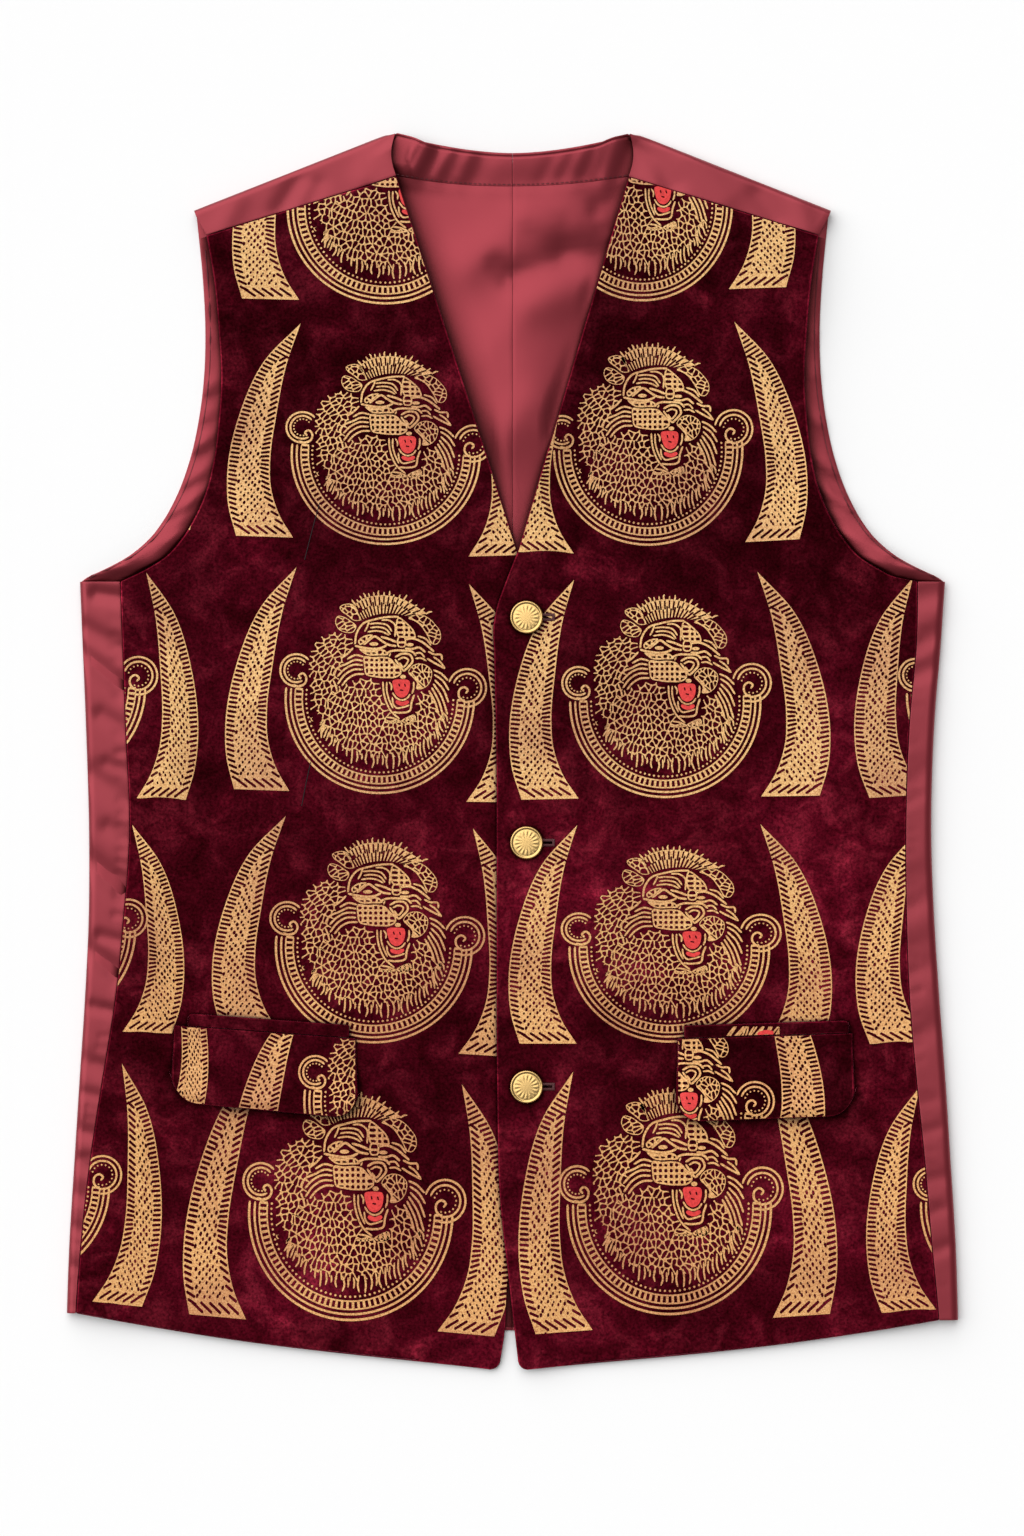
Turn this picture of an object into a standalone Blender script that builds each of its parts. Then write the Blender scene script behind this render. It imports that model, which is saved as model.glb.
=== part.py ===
"""A waistcoat laid flat on a surface: velvet fronts, a satin back that wraps over the shoulders
and round the sides, a satin back lining with a neck facing, pocket welts and flaps, and three
metal shank buttons.

Sizes are in millimetres until a mesh is made, which is in metres. +X is the wearer's left, +Y runs
to the neck and +Z rises off the surface. Each half is worked out on its own side: "out" is the
distance from the centre line towards that half's side, and "up" is +Y.
"""

import math
from collections import namedtuple

import bmesh
import bpy
import numpy as np

MM = 0.001

# Driving dimensions of the laid garment.
LENGTH = 717.0
CHEST_WIDTH = 501.2
NECK_WIDTH = 137.0
SHOULDER_SPAN = 369.0
SHOULDER_DROP = 45.5
BACK_NECK_DIP = 12.2
SHOULDER_STRIP_AT_NECK = 26.0
SHOULDER_STRIP_AT_ARM = 14.5
SEAM_INSET_AT_NECK = 1.2
SEAM_INSET_AT_ARM = 7.3
UNDERARM = 98.0
SIDE_HEM_LEFT = -329.5
SIDE_HEM_RIGHT = -325.5
BACK_HEM = -336.0
BUTTON_DIAMETER = 19.0

# Walls and the room between them.
GAP = 0.3
SATIN_WALL = 1.0
LINING_WALL = 1.0
VELVET_WALL = 2.0
FLAP_WALL = 1.7
SIDE_ROLL = 7.0
SHOULDER_ROLL = 7.6
SHOULDER_BULGE = 3.8
SHOULDER_BULGE_AT_NECK = 1.5
SHOULDER_BULGE_TAPER = 14.0
VELVET_PROUD = 0.4

# Heights worked out from the walls.
LINING_TOP = SATIN_WALL + GAP + LINING_WALL
FRONT_TOP = LINING_TOP + GAP + VELVET_WALL
OVERLAP_RISE = VELVET_WALL + GAP

# Places worked out from the driving dimensions.
NECK_POINT = (NECK_WIDTH / 2, LENGTH / 2)
SHOULDER_TIP = (SHOULDER_SPAN / 2, LENGTH / 2 - SHOULDER_DROP)
SHOULDER_ANGLE = math.atan2(SHOULDER_DROP, SHOULDER_TIP[0] - NECK_POINT[0])
SHOULDER_OUTWARD = (math.sin(SHOULDER_ANGLE), math.cos(SHOULDER_ANGLE))
SEAM_AT_NECK = (NECK_POINT[0] - SEAM_INSET_AT_NECK, NECK_POINT[1] - SHOULDER_STRIP_AT_NECK)
SEAM_AT_ARM = (SHOULDER_TIP[0] - SEAM_INSET_AT_ARM, SHOULDER_TIP[1] - SHOULDER_STRIP_AT_ARM)
FRONT_HEM = -LENGTH / 2
BACK_NECK = NECK_POINT[1] - BACK_NECK_DIP
BACK_NECK_ROUNDNESS = 1.75
FACING_SEAM_CENTRE = 327.0
FACING_SEAM_SIDE = 333.0
FACING_END = 73.0
FACING_INSET = 0.8
LINING_INSET = 1.0
LINING_HEM_RISE = 2.0

# How far each rise of a front reaches in from the seam or edge that lifts it.
SIDE_SLOPE = 62.0
SHOULDER_SLOPE = 78.0
OVERLAP_FLAT = 15.0
OVERLAP_SLOPE = 36.0
UNDERARM_SETTLE = 70.0
HEM_DROOP = 1.5
HEM_DROOP_REACH = 22.0
HEM_SAG = 3.3
HEM_SAG_LEAN = 1.25
HEM_SAG_REACH = 60.0
FRONT_CORNER_RADIUS = 5.0
LINING_FLAT_BY_FRONT = 9.0
LINING_FOLD_FADE = 14.0

# The fold at the side and the side seam on the front, from the underarm to the hem.
SideSection = namedtuple("SideSection", "up fold_right fold_left seam_right seam_left")
SIDE_SECTIONS = [
    SideSection(up=SIDE_HEM_LEFT, fold_right=258.3, fold_left=258.2, seam_right=252.9, seam_left=246.9),
    SideSection(up=SIDE_HEM_RIGHT, fold_right=258.2, fold_left=258.1, seam_right=252.7, seam_left=246.6),
    SideSection(up=-284, fold_right=256.7, fold_left=256.7, seam_right=249.7, seam_left=242.7),
    SideSection(up=-237, fold_right=253.8, fold_left=253.8, seam_right=244.5, seam_left=238.7),
    SideSection(up=-191, fold_right=250.9, fold_left=250.9, seam_right=237.5, seam_left=234.0),
    SideSection(up=-144, fold_right=247.8, fold_left=247.4, seam_right=230.0, seam_left=230.0),
    SideSection(up=-98, fold_right=245.6, fold_left=244.4, seam_right=225.3, seam_left=228.2),
    SideSection(up=-52, fold_right=245.3, fold_left=242.7, seam_right=221.9, seam_left=227.7),
    SideSection(up=18, fold_right=247.3, fold_left=244.6, seam_right=224.2, seam_left=230.0),
    SideSection(up=64, fold_right=249.2, fold_left=248.3, seam_right=225.9, seam_left=234.0),
    SideSection(up=UNDERARM, fold_right=250.6, fold_left=250.6, seam_right=227.1, seam_left=234.6),
]

# The armhole edges of the back and of the fronts, from the underarm to the shoulder.
ArmholeSection = namedtuple("ArmholeSection", "up back front")
ARMHOLE_SECTIONS = [
    ArmholeSection(up=101, back=244.8, front=220.6),
    ArmholeSection(up=104, back=239.4, front=214.5),
    ArmholeSection(up=111, back=225.7, front=202.8),
    ArmholeSection(up=122, back=211.6, front=192.2),
    ArmholeSection(up=134, back=202.2, front=184.7),
    ArmholeSection(up=146, back=195.6, front=179.1),
    ArmholeSection(up=169, back=187.0, front=173.1),
    ArmholeSection(up=192, back=181.9, front=170.3),
    ArmholeSection(up=215, back=179.0, front=168.9),
    ArmholeSection(up=244, back=178.1, front=170.3),
    ArmholeSection(up=273, back=179.5, front=172.9),
]

# The front edges below the V. A negative value reaches past the centre line.
FrontEdge = namedtuple("FrontEdge", "up left right")
FRONT_EDGES = [
    FrontEdge(up=FRONT_HEM, left=3.8, right=7.8),
    FrontEdge(up=-336, left=1.2, right=4.4),
    FrontEdge(up=-305, left=-2.3, right=2.2),
    FrontEdge(up=-260, left=-7.2, right=-10.0),
    FrontEdge(up=-200, left=-8.8, right=-20.0),
    FrontEdge(up=-100, left=-9.2, right=-23.0),
    FrontEdge(up=0, left=-9.4, right=-23.8),
    FrontEdge(up=55, left=-10.6, right=-21.4),
    FrontEdge(up=74, left=-10.9, right=-16.0),
    FrontEdge(up=83, left=-9.1, right=-13.2),
    FrontEdge(up=98, left=-3.9, right=-8.5),
    FrontEdge(up=110, left=0.8, right=-4.6),
    FrontEdge(up=117, left=3.6, right=-2.4),
]

# Soft folds: a ridge or trough from one point to another, in garment x and y.
Fold = namedtuple("Fold", "panel x0 y0 x1 y1 width height")
FOLDS = [
    Fold(panel="lining", x0=-46, y0=300, x1=-14, y1=225, width=18, height=0.9),
    Fold(panel="lining", x0=4, y0=246, x1=34, y1=292, width=13, height=0.9),
    Fold(panel="lining", x0=6, y0=236, x1=44, y1=204, width=16, height=0.8),
    Fold(panel="front_left", x0=120, y0=60, x1=150, y1=-110, width=30, height=0.7),
    Fold(panel="front_right", x0=-132, y0=150, x1=-122, y1=20, width=26, height=0.7),
]

# Pocket flaps, by their top edge, and the two rounded lower corners.
Flap = namedtuple("Flap", "side inner_out inner_up inner_depth outer_out outer_up outer_depth")
FLAPS = [
    Flap(
        side=1,
        inner_out=95.4, inner_up=-166.6, inner_depth=48.0,
        outer_out=196.8, outer_up=-163.4, outer_depth=47.6,
    ),
    Flap(
        side=-1,
        inner_out=90.6, inner_up=-166.5, inner_depth=46.2,
        outer_out=196.0, outer_up=-158.8, outer_depth=44.2,
    ),
]
FLAP_INNER_CORNER = 13.0
FLAP_OUTER_CORNER = 10.0
FLAP_LIFT = 0.9
WELT_HEIGHT = 7.2
WELT_INNER_INSET = 9.0
WELT_OUTER_INSET = 8.0

# Buttons along the centre front, and the keyhole buttonhole that each goes through.
CENTRE_FRONT = 8.1
BUTTON_UPS = (77.4, -53.1, -194.3)
BUTTON_RISE = 2.7
SHANK_RADIUS = 1.6
HOLE_EYE_RADIUS = 2.4
HOLE_SLIT_WIDTH = 1.5
HOLE_LENGTH = 15.0
HOLE_CUT_HEIGHT = 12.0
HOLE_EYE_STEPS = 12

# How finely the sheets are divided.
SIDE_ROWS = 14
ARMHOLE_ROWS = 12
FRONT_COLUMNS = 13
NECK_COLUMNS = 8
SHOULDER_COLUMNS = 7
ARMHOLE_ROW_BUNCHING = 1.6
ROLL_STEPS = 6
TOP_BEND_START = 0.62
BUTTON_STEPS = 28

# Colours, as linear red, green and blue.
SATIN = {"colour": (0.30, 0.040, 0.058), "roughness": 0.42, "metallic": 0.0}
VELVET = {"colour": (0.060, 0.004, 0.013), "roughness": 0.85, "metallic": 0.0}
BRASS = {"colour": (0.70, 0.46, 0.16), "roughness": 0.32, "metallic": 1.0}


def mix(start, end, share):
    return start + (end - start) * share


def soft_step(value):
    """0 below 0, 1 above 1, with a smooth rise between."""
    share = min(max(value, 0.0), 1.0)
    return share * share * (3 - 2 * share)


def smooth_through(ups, outs, up):
    """A cubic curve through the given places, with slopes taken from each one's neighbours."""
    ups = np.asarray(ups, float)
    outs = np.asarray(outs, float)
    slopes = np.gradient(outs, ups)
    i = int(np.clip(np.searchsorted(ups, up) - 1, 0, len(ups) - 2))
    length = ups[i + 1] - ups[i]
    t = (up - ups[i]) / length
    start = (1 + 2 * t) * (1 - t) ** 2 * outs[i] + t * (1 - t) ** 2 * length * slopes[i]
    end = t * t * (3 - 2 * t) * outs[i + 1] + t * t * (t - 1) * length * slopes[i + 1]
    return float(start + end)


def side_hem(side):
    return SIDE_HEM_LEFT if side > 0 else SIDE_HEM_RIGHT


def side_fold(side, up):
    folds = [row.fold_left if side > 0 else row.fold_right for row in SIDE_SECTIONS]
    return smooth_through([row.up for row in SIDE_SECTIONS], folds, up)


def side_seam(side, up):
    seams = [row.seam_left if side > 0 else row.seam_right for row in SIDE_SECTIONS]
    return smooth_through([row.up for row in SIDE_SECTIONS], seams, up)


def armhole(first_out, last, column, up):
    """An armhole edge from the underarm, at first_out, to the place called last."""
    rows = [row for row in ARMHOLE_SECTIONS if row.up < last[1]]
    ups = [UNDERARM] + [row.up for row in rows] + [last[1]]
    outs = [first_out] + [getattr(row, column) for row in rows] + [last[0]]
    return smooth_through(ups, outs, up)


def shoulder_bulge(share):
    """How far the roll reaches out at a share of the shoulder line; it is pinched at the neck."""
    along = share * math.dist(NECK_POINT, SHOULDER_TIP)
    return mix(SHOULDER_BULGE_AT_NECK, SHOULDER_BULGE, soft_step(along / SHOULDER_BULGE_TAPER))


def roll_start(share):
    """Where the back leaves the surface to roll over the shoulder line."""
    bulge = shoulder_bulge(share)
    return (
        mix(NECK_POINT[0], SHOULDER_TIP[0], share) - SHOULDER_OUTWARD[0] * bulge,
        mix(NECK_POINT[1], SHOULDER_TIP[1], share) - SHOULDER_OUTWARD[1] * bulge,
    )


BACK_ARM_TOP = roll_start(1.0)
BACK_NECK_CORNER = roll_start(0.0)


def shoulder_share(out):
    return (out - BACK_NECK_CORNER[0]) / (BACK_ARM_TOP[0] - BACK_NECK_CORNER[0])


def back_outer(side, up):
    """The edge of the part of the back that lies on the surface."""
    if up <= UNDERARM:
        return side_fold(side, up) - SIDE_ROLL / 2
    return armhole(CHEST_WIDTH / 2 - SIDE_ROLL / 2, BACK_ARM_TOP, "back", up)


def lining_outer(side, up):
    return back_outer(side, up) - LINING_INSET


def front_outer(side, up):
    if up <= UNDERARM:
        return side_seam(side, up)
    return armhole(side_seam(side, UNDERARM), SEAM_AT_ARM, "front", up)


def front_edge(side, up):
    """The front edge: the V is straight, and the edge below it follows its table."""
    edges = [row.left if side > 0 else row.right for row in FRONT_EDGES]
    ups = [row.up for row in FRONT_EDGES]
    if up >= ups[-1]:
        share = (up - ups[-1]) / (SEAM_AT_NECK[1] - ups[-1])
        return mix(edges[-1], SEAM_AT_NECK[0], share)
    over_hem = up - FRONT_HEM
    rounding = 0.0
    if over_hem < FRONT_CORNER_RADIUS:
        left = FRONT_CORNER_RADIUS - over_hem
        rounding = FRONT_CORNER_RADIUS - math.sqrt(FRONT_CORNER_RADIUS**2 - left**2)
    return smooth_through(ups, edges, up) + rounding


def back_neck(out):
    """The back neck edge, and past the neck corner the line where the shoulder roll starts."""
    if out <= BACK_NECK_CORNER[0]:
        share = out / BACK_NECK_CORNER[0]
        return mix(BACK_NECK, BACK_NECK_CORNER[1], share**BACK_NECK_ROUNDNESS)
    return roll_start(shoulder_share(out))[1]


def facing_seam(out):
    return mix(FACING_SEAM_CENTRE, FACING_SEAM_SIDE, (out / SEAM_AT_NECK[0]) ** 2)


def lining_top_edge(out):
    """The lining ends below the facing, and past the neck along the shoulder seam."""
    if out <= SEAM_AT_NECK[0]:
        return facing_seam(out) - GAP
    share = (out - SEAM_AT_NECK[0]) / (SEAM_AT_ARM[0] - SEAM_AT_NECK[0])
    return mix(facing_seam(SEAM_AT_NECK[0]) - GAP, SEAM_AT_ARM[1] - GAP, share)


def shoulder_seam_up(out):
    share = (out - SEAM_AT_NECK[0]) / (SEAM_AT_ARM[0] - SEAM_AT_NECK[0])
    return mix(SEAM_AT_NECK[1], SEAM_AT_ARM[1], share)


def folds_at(panel, x, y):
    """The height that the soft folds of one panel add at a place."""
    total = 0.0
    for fold in FOLDS:
        if fold.panel != panel:
            continue
        run = (fold.x1 - fold.x0, fold.y1 - fold.y0)
        length = math.hypot(*run)
        along = ((x - fold.x0) * run[0] + (y - fold.y0) * run[1]) / length**2
        across = ((x - fold.x0) * run[1] - (y - fold.y0) * run[0]) / length
        past_end = max(-along, along - 1, 0.0) * length
        total += fold.height * math.exp(-(across**2 + past_end**2) / fold.width**2)
    return total


def lining_height(side, out, up):
    """The height of the lining's upper face: its folds lie in the V and fade out beside the fronts."""
    clear = front_edge(side, up) - out - LINING_FLAT_BY_FRONT
    return LINING_TOP + folds_at("lining", side * out, up) * soft_step(clear / LINING_FOLD_FADE)


def front_top(side, out, up):
    """The height of a front's outer face. It rises to the side roll, the shoulder and the overlap."""
    panel = "front_left" if side > 0 else "front_right"
    height = FRONT_TOP + folds_at(panel, side * out, up)
    side_share = soft_step(1 - (front_outer(side, up) - out) / SIDE_SLOPE)
    settle = 1 - soft_step((up - UNDERARM) / UNDERARM_SETTLE)
    height += (SIDE_ROLL + VELVET_PROUD - FRONT_TOP) * side_share * settle
    top_share = soft_step(1 - (shoulder_seam_up(out) - up) / SHOULDER_SLOPE)
    height += (SHOULDER_ROLL + VELVET_PROUD - FRONT_TOP) * top_share
    if side > 0:
        under_edge = -front_edge(-1, up)
        past_flat = out - under_edge - OVERLAP_FLAT
        height += OVERLAP_RISE * soft_step(1 - past_flat / OVERLAP_SLOPE)
    height -= HEM_DROOP * soft_step((BACK_HEM - up) / HEM_DROOP_REACH)
    return height


def spread_rows(first, last):
    """Heights of the rows at a panel's outer edge: even along the side, close above the underarm."""
    side = np.linspace(first, UNDERARM, SIDE_ROWS)
    arm = UNDERARM + (last - UNDERARM) * np.linspace(0, 1, ARMHOLE_ROWS) ** ARMHOLE_ROW_BUNCHING
    return np.concatenate([side, arm[1:]])


def shares(values):
    """Rows as shares of the way from the first to the last."""
    return (values - values[0]) / (values[-1] - values[0])


def back_grid(first, last, inner_first, inner_last, outer, top_edge, columns, height):
    """A half of the back or lining: straight rows from the centre seam out, bent up to its top edge."""
    rows = []
    top_out = outer(last)
    for outer_up, share in zip(spread_rows(first, last), shares(spread_rows(first, last))):
        inner_up = mix(inner_first, inner_last, share)
        row = []
        for column in columns:
            out = mix(GAP / 2, outer(outer_up), column)
            straight_top = mix(inner_last, last, column)
            bend = top_edge(mix(GAP / 2, top_out, column)) - straight_top
            bend *= soft_step((share - TOP_BEND_START) / (1 - TOP_BEND_START))
            up = mix(inner_up, outer_up, column) + bend
            row.append((out, up, height(out, up)))
        rows.append(row)
    return rows


def neck_and_shoulder_columns(corner, top_out):
    """Column shares with one of them at the neck corner."""
    at_corner = (corner - GAP / 2) / (top_out - GAP / 2)
    neck = np.linspace(0, at_corner, NECK_COLUMNS)
    shoulder = np.linspace(at_corner, 1, SHOULDER_COLUMNS)
    return np.concatenate([neck, shoulder[1:]])


def roll_points(start, outward, bulge, height, end):
    """A half turn from the surface over the fold, then the strip that lies back to its seam."""
    points = []
    for step in range(ROLL_STEPS + 1):
        turn = math.pi * step / ROLL_STEPS
        reach = bulge * math.sin(turn)
        points.append((
            start[0] + outward[0] * reach,
            start[1] + outward[1] * reach,
            height * (1 - math.cos(turn)) / 2,
        ))
    for share in (0.5, 1.0):
        points.append((mix(start[0], end[0], share), mix(start[1], end[1], share), height))
    return points


def side_strip_grid(side):
    """The back going round the side fold to the side seam, up to the underarm."""
    rows = []
    for up in np.linspace(side_hem(side), UNDERARM, SIDE_ROWS):
        start = (side_fold(side, up) - SIDE_ROLL / 2, up)
        end = (side_seam(side, up) + GAP / 2, up)
        rows.append(roll_points(start, (1, 0), SIDE_ROLL / 2, SIDE_ROLL, end))
    return rows


def shoulder_strip_grid(columns):
    """The back going over the shoulder line to the shoulder seam, one run for each column."""
    runs = []
    for column in columns:
        out = mix(GAP / 2, BACK_ARM_TOP[0], column)
        share = shoulder_share(out)
        if share < -1e-6:
            continue
        end = (
            mix(SEAM_AT_NECK[0], SEAM_AT_ARM[0], share),
            mix(SEAM_AT_NECK[1], SEAM_AT_ARM[1], share) + GAP / 2,
        )
        start = (out, back_neck(out))
        runs.append(roll_points(start, SHOULDER_OUTWARD, shoulder_bulge(share), SHOULDER_ROLL, end))
    return [list(line) for line in zip(*runs)]


def sheet_object(name, grids, side, outer_face, wall, finish):
    """One sheet of cloth from grids of points that share their edges, given its wall by Solidify."""
    mesh = bpy.data.meshes.new(name)
    shape = bmesh.new()
    for grid in grids:
        corners = [
            [shape.verts.new((side * out * MM, up * MM, height * MM)) for out, up, height in row]
            for row in grid
        ]
        for low, high in zip(corners, corners[1:]):
            for i in range(len(low) - 1):
                face = [low[i], low[i + 1], high[i + 1], high[i]]
                shape.faces.new(face if side * outer_face > 0 else face[::-1])
    bmesh.ops.remove_doubles(shape, verts=shape.verts, dist=0.01 * MM)
    shape.to_mesh(mesh)
    shape.free()
    mesh.shade_smooth()
    sheet = place(name, mesh, finish)
    solidify = sheet.modifiers.new("wall", "SOLIDIFY")
    solidify.thickness = wall * MM
    solidify.offset = -1
    solidify.use_even_offset = True
    return sheet


def place(name, mesh, finish):
    """A named object of the garment, under its root, with a material of its own."""
    thing = bpy.data.objects.new(name, mesh)
    bpy.data.collections["waistcoat"].objects.link(thing)
    thing.parent = bpy.data.objects["waistcoat_root"]
    material = bpy.data.materials.new(name)
    material.use_nodes = True
    shader = material.node_tree.nodes["Principled BSDF"]
    shader.inputs["Base Color"].default_value = (*finish["colour"], 1)
    shader.inputs["Roughness"].default_value = finish["roughness"]
    shader.inputs["Metallic"].default_value = finish["metallic"]
    material.diffuse_color = (*finish["colour"], 1)
    mesh.materials.append(material)
    return thing


def make_back(name, side):
    columns = neck_and_shoulder_columns(BACK_NECK_CORNER[0], BACK_ARM_TOP[0])
    main = back_grid(
        side_hem(side), BACK_ARM_TOP[1], BACK_HEM, BACK_NECK,
        lambda up: back_outer(side, up), back_neck, columns, lambda out, up: 0.0,
    )
    grids = [main, side_strip_grid(side), shoulder_strip_grid(columns)]
    sheet_object(name, grids, side, -1, SATIN_WALL, SATIN)


def make_lining(name, side):
    top_up = SEAM_AT_ARM[1] - GAP
    columns = neck_and_shoulder_columns(SEAM_AT_NECK[0], lining_outer(side, top_up))
    grid = back_grid(
        side_hem(side) + LINING_HEM_RISE, top_up, BACK_HEM + LINING_HEM_RISE, FACING_SEAM_CENTRE - GAP,
        lambda up: lining_outer(side, up), lining_top_edge, columns,
        lambda out, up: lining_height(side, out, up),
    )
    sheet_object(name, [grid], side, 1, LINING_WALL, SATIN)


def make_neck_facing(name, side):
    """The band between the back neck edge and the lining."""
    rows = []
    for share in np.linspace(0, 1, 4):
        row = []
        for out in np.linspace(GAP / 2, FACING_END, 9):
            up = mix(facing_seam(out), back_neck(out) - FACING_INSET, share)
            row.append((out, up, LINING_TOP))
        rows.append(row)
    sheet_object(name, [rows], side, 1, LINING_WALL, SATIN)


def hem_sag(across, over_hem):
    """How far a front hangs below the straight line from its lower corner to the side."""
    fade = 1 - soft_step(over_hem / HEM_SAG_REACH)
    return HEM_SAG * math.sin(math.pi * across**HEM_SAG_LEAN) * fade


def front_grid(side):
    outer_ups = spread_rows(side_hem(side), SEAM_AT_ARM[1] - GAP / 2)
    run = SEAM_AT_NECK[1] - FRONT_HEM
    hem_rows = [FRONT_CORNER_RADIUS * share / run for share in (0.06, 0.25, 0.6, 1.0)]
    hem_rows += [(BACK_HEM - FRONT_HEM) * share / run for share in (0.6, 1.15)]
    rows = []
    for share in sorted([*shares(outer_ups), *hem_rows]):
        outer_up = mix(outer_ups[0], outer_ups[-1], share)
        inner_up = mix(FRONT_HEM, SEAM_AT_NECK[1] - GAP / 2, share)
        inner = (front_edge(side, inner_up), inner_up)
        outer = (front_outer(side, outer_up) - GAP / 2, outer_up)
        row = []
        for column in np.linspace(0, 1, FRONT_COLUMNS):
            out = mix(inner[0], outer[0], column)
            up = mix(inner[1], outer[1], column) - hem_sag(column, share * run)
            row.append((out, up, front_top(side, out, up)))
        rows.append(row)
    return rows


def make_front(name, side):
    return sheet_object(name, [front_grid(side)], side, 1, VELVET_WALL, VELVET)


def corner_trim(distance, radius):
    """How much a rounded corner takes off a straight edge, at a distance from the side."""
    if distance >= radius:
        return 0.0
    return radius - math.sqrt(radius**2 - (radius - distance) ** 2)


def make_flap(name, flap):
    """A flap made from the points of the front under it, moved out, with two rounded lower corners."""
    width = flap.outer_out - flap.inner_out
    near_corner = np.array([0.0, 0.05, 0.2, 0.45, 1.0])
    inner_part = FLAP_INNER_CORNER * near_corner
    outer_part = width - FLAP_OUTER_CORNER * near_corner[::-1]
    middle = np.linspace(inner_part[-1], outer_part[0], 8)[1:-1]
    rows = []
    for share in np.linspace(0, 1, 6):
        row = []
        for along in [*inner_part, *middle, *outer_part]:
            across = along / width
            depth = mix(flap.inner_depth, flap.outer_depth, across)
            depth -= corner_trim(along, FLAP_INNER_CORNER) + corner_trim(width - along, FLAP_OUTER_CORNER)
            out = flap.inner_out + along
            up = mix(flap.inner_up, flap.outer_up, across) - depth * (1 - share)
            lift = GAP + FLAP_WALL + FLAP_LIFT * (1 - share)
            row.append((out, up, front_top(flap.side, out, up) + lift))
        rows.append(row)
    sheet_object(name, [rows], flap.side, 1, FLAP_WALL, VELVET)


def make_welt(name, flap):
    """The narrow band on the front, just above the flap's top edge."""
    rows = []
    for share in (0.0, 0.5, 1.0):
        row = []
        for out in np.linspace(flap.inner_out + WELT_INNER_INSET, flap.outer_out - WELT_OUTER_INSET, 9):
            across = (out - flap.inner_out) / (flap.outer_out - flap.inner_out)
            up = mix(flap.inner_up, flap.outer_up, across) + GAP + WELT_HEIGHT * share
            row.append((out, up, front_top(flap.side, out, up) + GAP + FLAP_WALL))
        rows.append(row)
    sheet_object(name, [rows], flap.side, 1, FLAP_WALL, VELVET)


def make_buttonhole_cutter(up):
    """A keyhole: a round eye under the button and a slit running out from it."""
    half = HOLE_SLIT_WIDTH / 2
    opening = math.asin(half / HOLE_EYE_RADIUS)
    outline = [(HOLE_LENGTH, -half), (HOLE_LENGTH, half)]
    for step in range(HOLE_EYE_STEPS + 1):
        turn = mix(opening, 2 * math.pi - opening, step / HOLE_EYE_STEPS)
        outline.append((HOLE_EYE_RADIUS * math.cos(turn), HOLE_EYE_RADIUS * math.sin(turn)))
    mesh = bpy.data.meshes.new("buttonhole")
    shape = bmesh.new()
    floor = FRONT_TOP - VELVET_WALL
    corners = [shape.verts.new(((CENTRE_FRONT + x) * MM, (up + y) * MM, floor * MM)) for x, y in outline]
    base = shape.faces.new(corners)
    grown = bmesh.ops.extrude_face_region(shape, geom=[base])["geom"]
    raised = [part for part in grown if isinstance(part, bmesh.types.BMVert)]
    bmesh.ops.translate(shape, verts=raised, vec=(0, 0, HOLE_CUT_HEIGHT * MM))
    bmesh.ops.recalc_face_normals(shape, faces=shape.faces)
    shape.to_mesh(mesh)
    shape.free()
    cutter = bpy.data.objects.new("buttonhole", mesh)
    bpy.data.collections["waistcoat_cutters"].objects.link(cutter)
    cutter.hide_render = True
    cutter.display_type = "WIRE"
    return cutter


def cut_buttonholes(front):
    for up in BUTTON_UPS:
        cut = front.modifiers.new("buttonhole", "BOOLEAN")
        cut.operation = "DIFFERENCE"
        cut.solver = "EXACT"
        cut.object = make_buttonhole_cutter(up)


def button_profile():
    """The turned outline of a button, from the middle of its face down to the end of its shank."""
    radius = BUTTON_DIAMETER / 2
    shank = -OVERLAP_RISE
    return [
        (0, BUTTON_RISE - 0.2),
        (0.45 * radius, BUTTON_RISE - 0.25),
        (0.76 * radius, BUTTON_RISE - 0.55),
        (0.82 * radius, BUTTON_RISE - 0.6),
        (0.87 * radius, BUTTON_RISE - 0.2),
        (0.92 * radius, BUTTON_RISE),
        (0.97 * radius, BUTTON_RISE - 0.25),
        (radius, BUTTON_RISE - 0.8),
        (0.98 * radius, BUTTON_RISE - 1.6),
        (0.86 * radius, 0.25),
        (0.6 * radius, 0),
        (SHANK_RADIUS, 0),
        (SHANK_RADIUS, shank),
        (0, shank),
    ]


def make_button(name, up):
    """A button that sits just over the top front, its shank through the buttonhole's eye."""
    mesh = bpy.data.meshes.new(name)
    points = [(out * MM, 0, height * MM) for out, height in button_profile()]
    mesh.from_pydata(points, [(i, i + 1) for i in range(len(points) - 1)], [])
    button = place(name, mesh, BRASS)
    button.location = (CENTRE_FRONT * MM, up * MM, (front_top(1, CENTRE_FRONT, up) + GAP) * MM)
    turn = button.modifiers.new("turned", "SCREW")
    turn.steps = BUTTON_STEPS
    turn.render_steps = BUTTON_STEPS
    turn.use_merge_vertices = True
    turn.merge_threshold = 0.01 * MM


def clear_scene():
    for thing in list(bpy.data.objects):
        bpy.data.objects.remove(thing)


def make_collections():
    for name in ("waistcoat", "waistcoat_cutters"):
        collection = bpy.data.collections.new(name)
        bpy.context.scene.collection.children.link(collection)
    root = bpy.data.objects.new("waistcoat_root", None)
    bpy.data.collections["waistcoat"].objects.link(root)


def main():
    clear_scene()
    make_collections()
    for side, word in ((1, "left"), (-1, "right")):
        make_back(f"back_{word}", side)
        make_lining(f"lining_{word}", side)
        make_neck_facing(f"neck_facing_{word}", side)
    top_front = make_front("front_left", 1)
    make_front("front_right", -1)
    cut_buttonholes(top_front)
    for flap in FLAPS:
        word = "left" if flap.side > 0 else "right"
        make_flap(f"flap_{word}", flap)
        make_welt(f"welt_{word}", flap)
    for number, up in enumerate(BUTTON_UPS, 1):
        make_button(f"button_{number}", up)


main()
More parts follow.
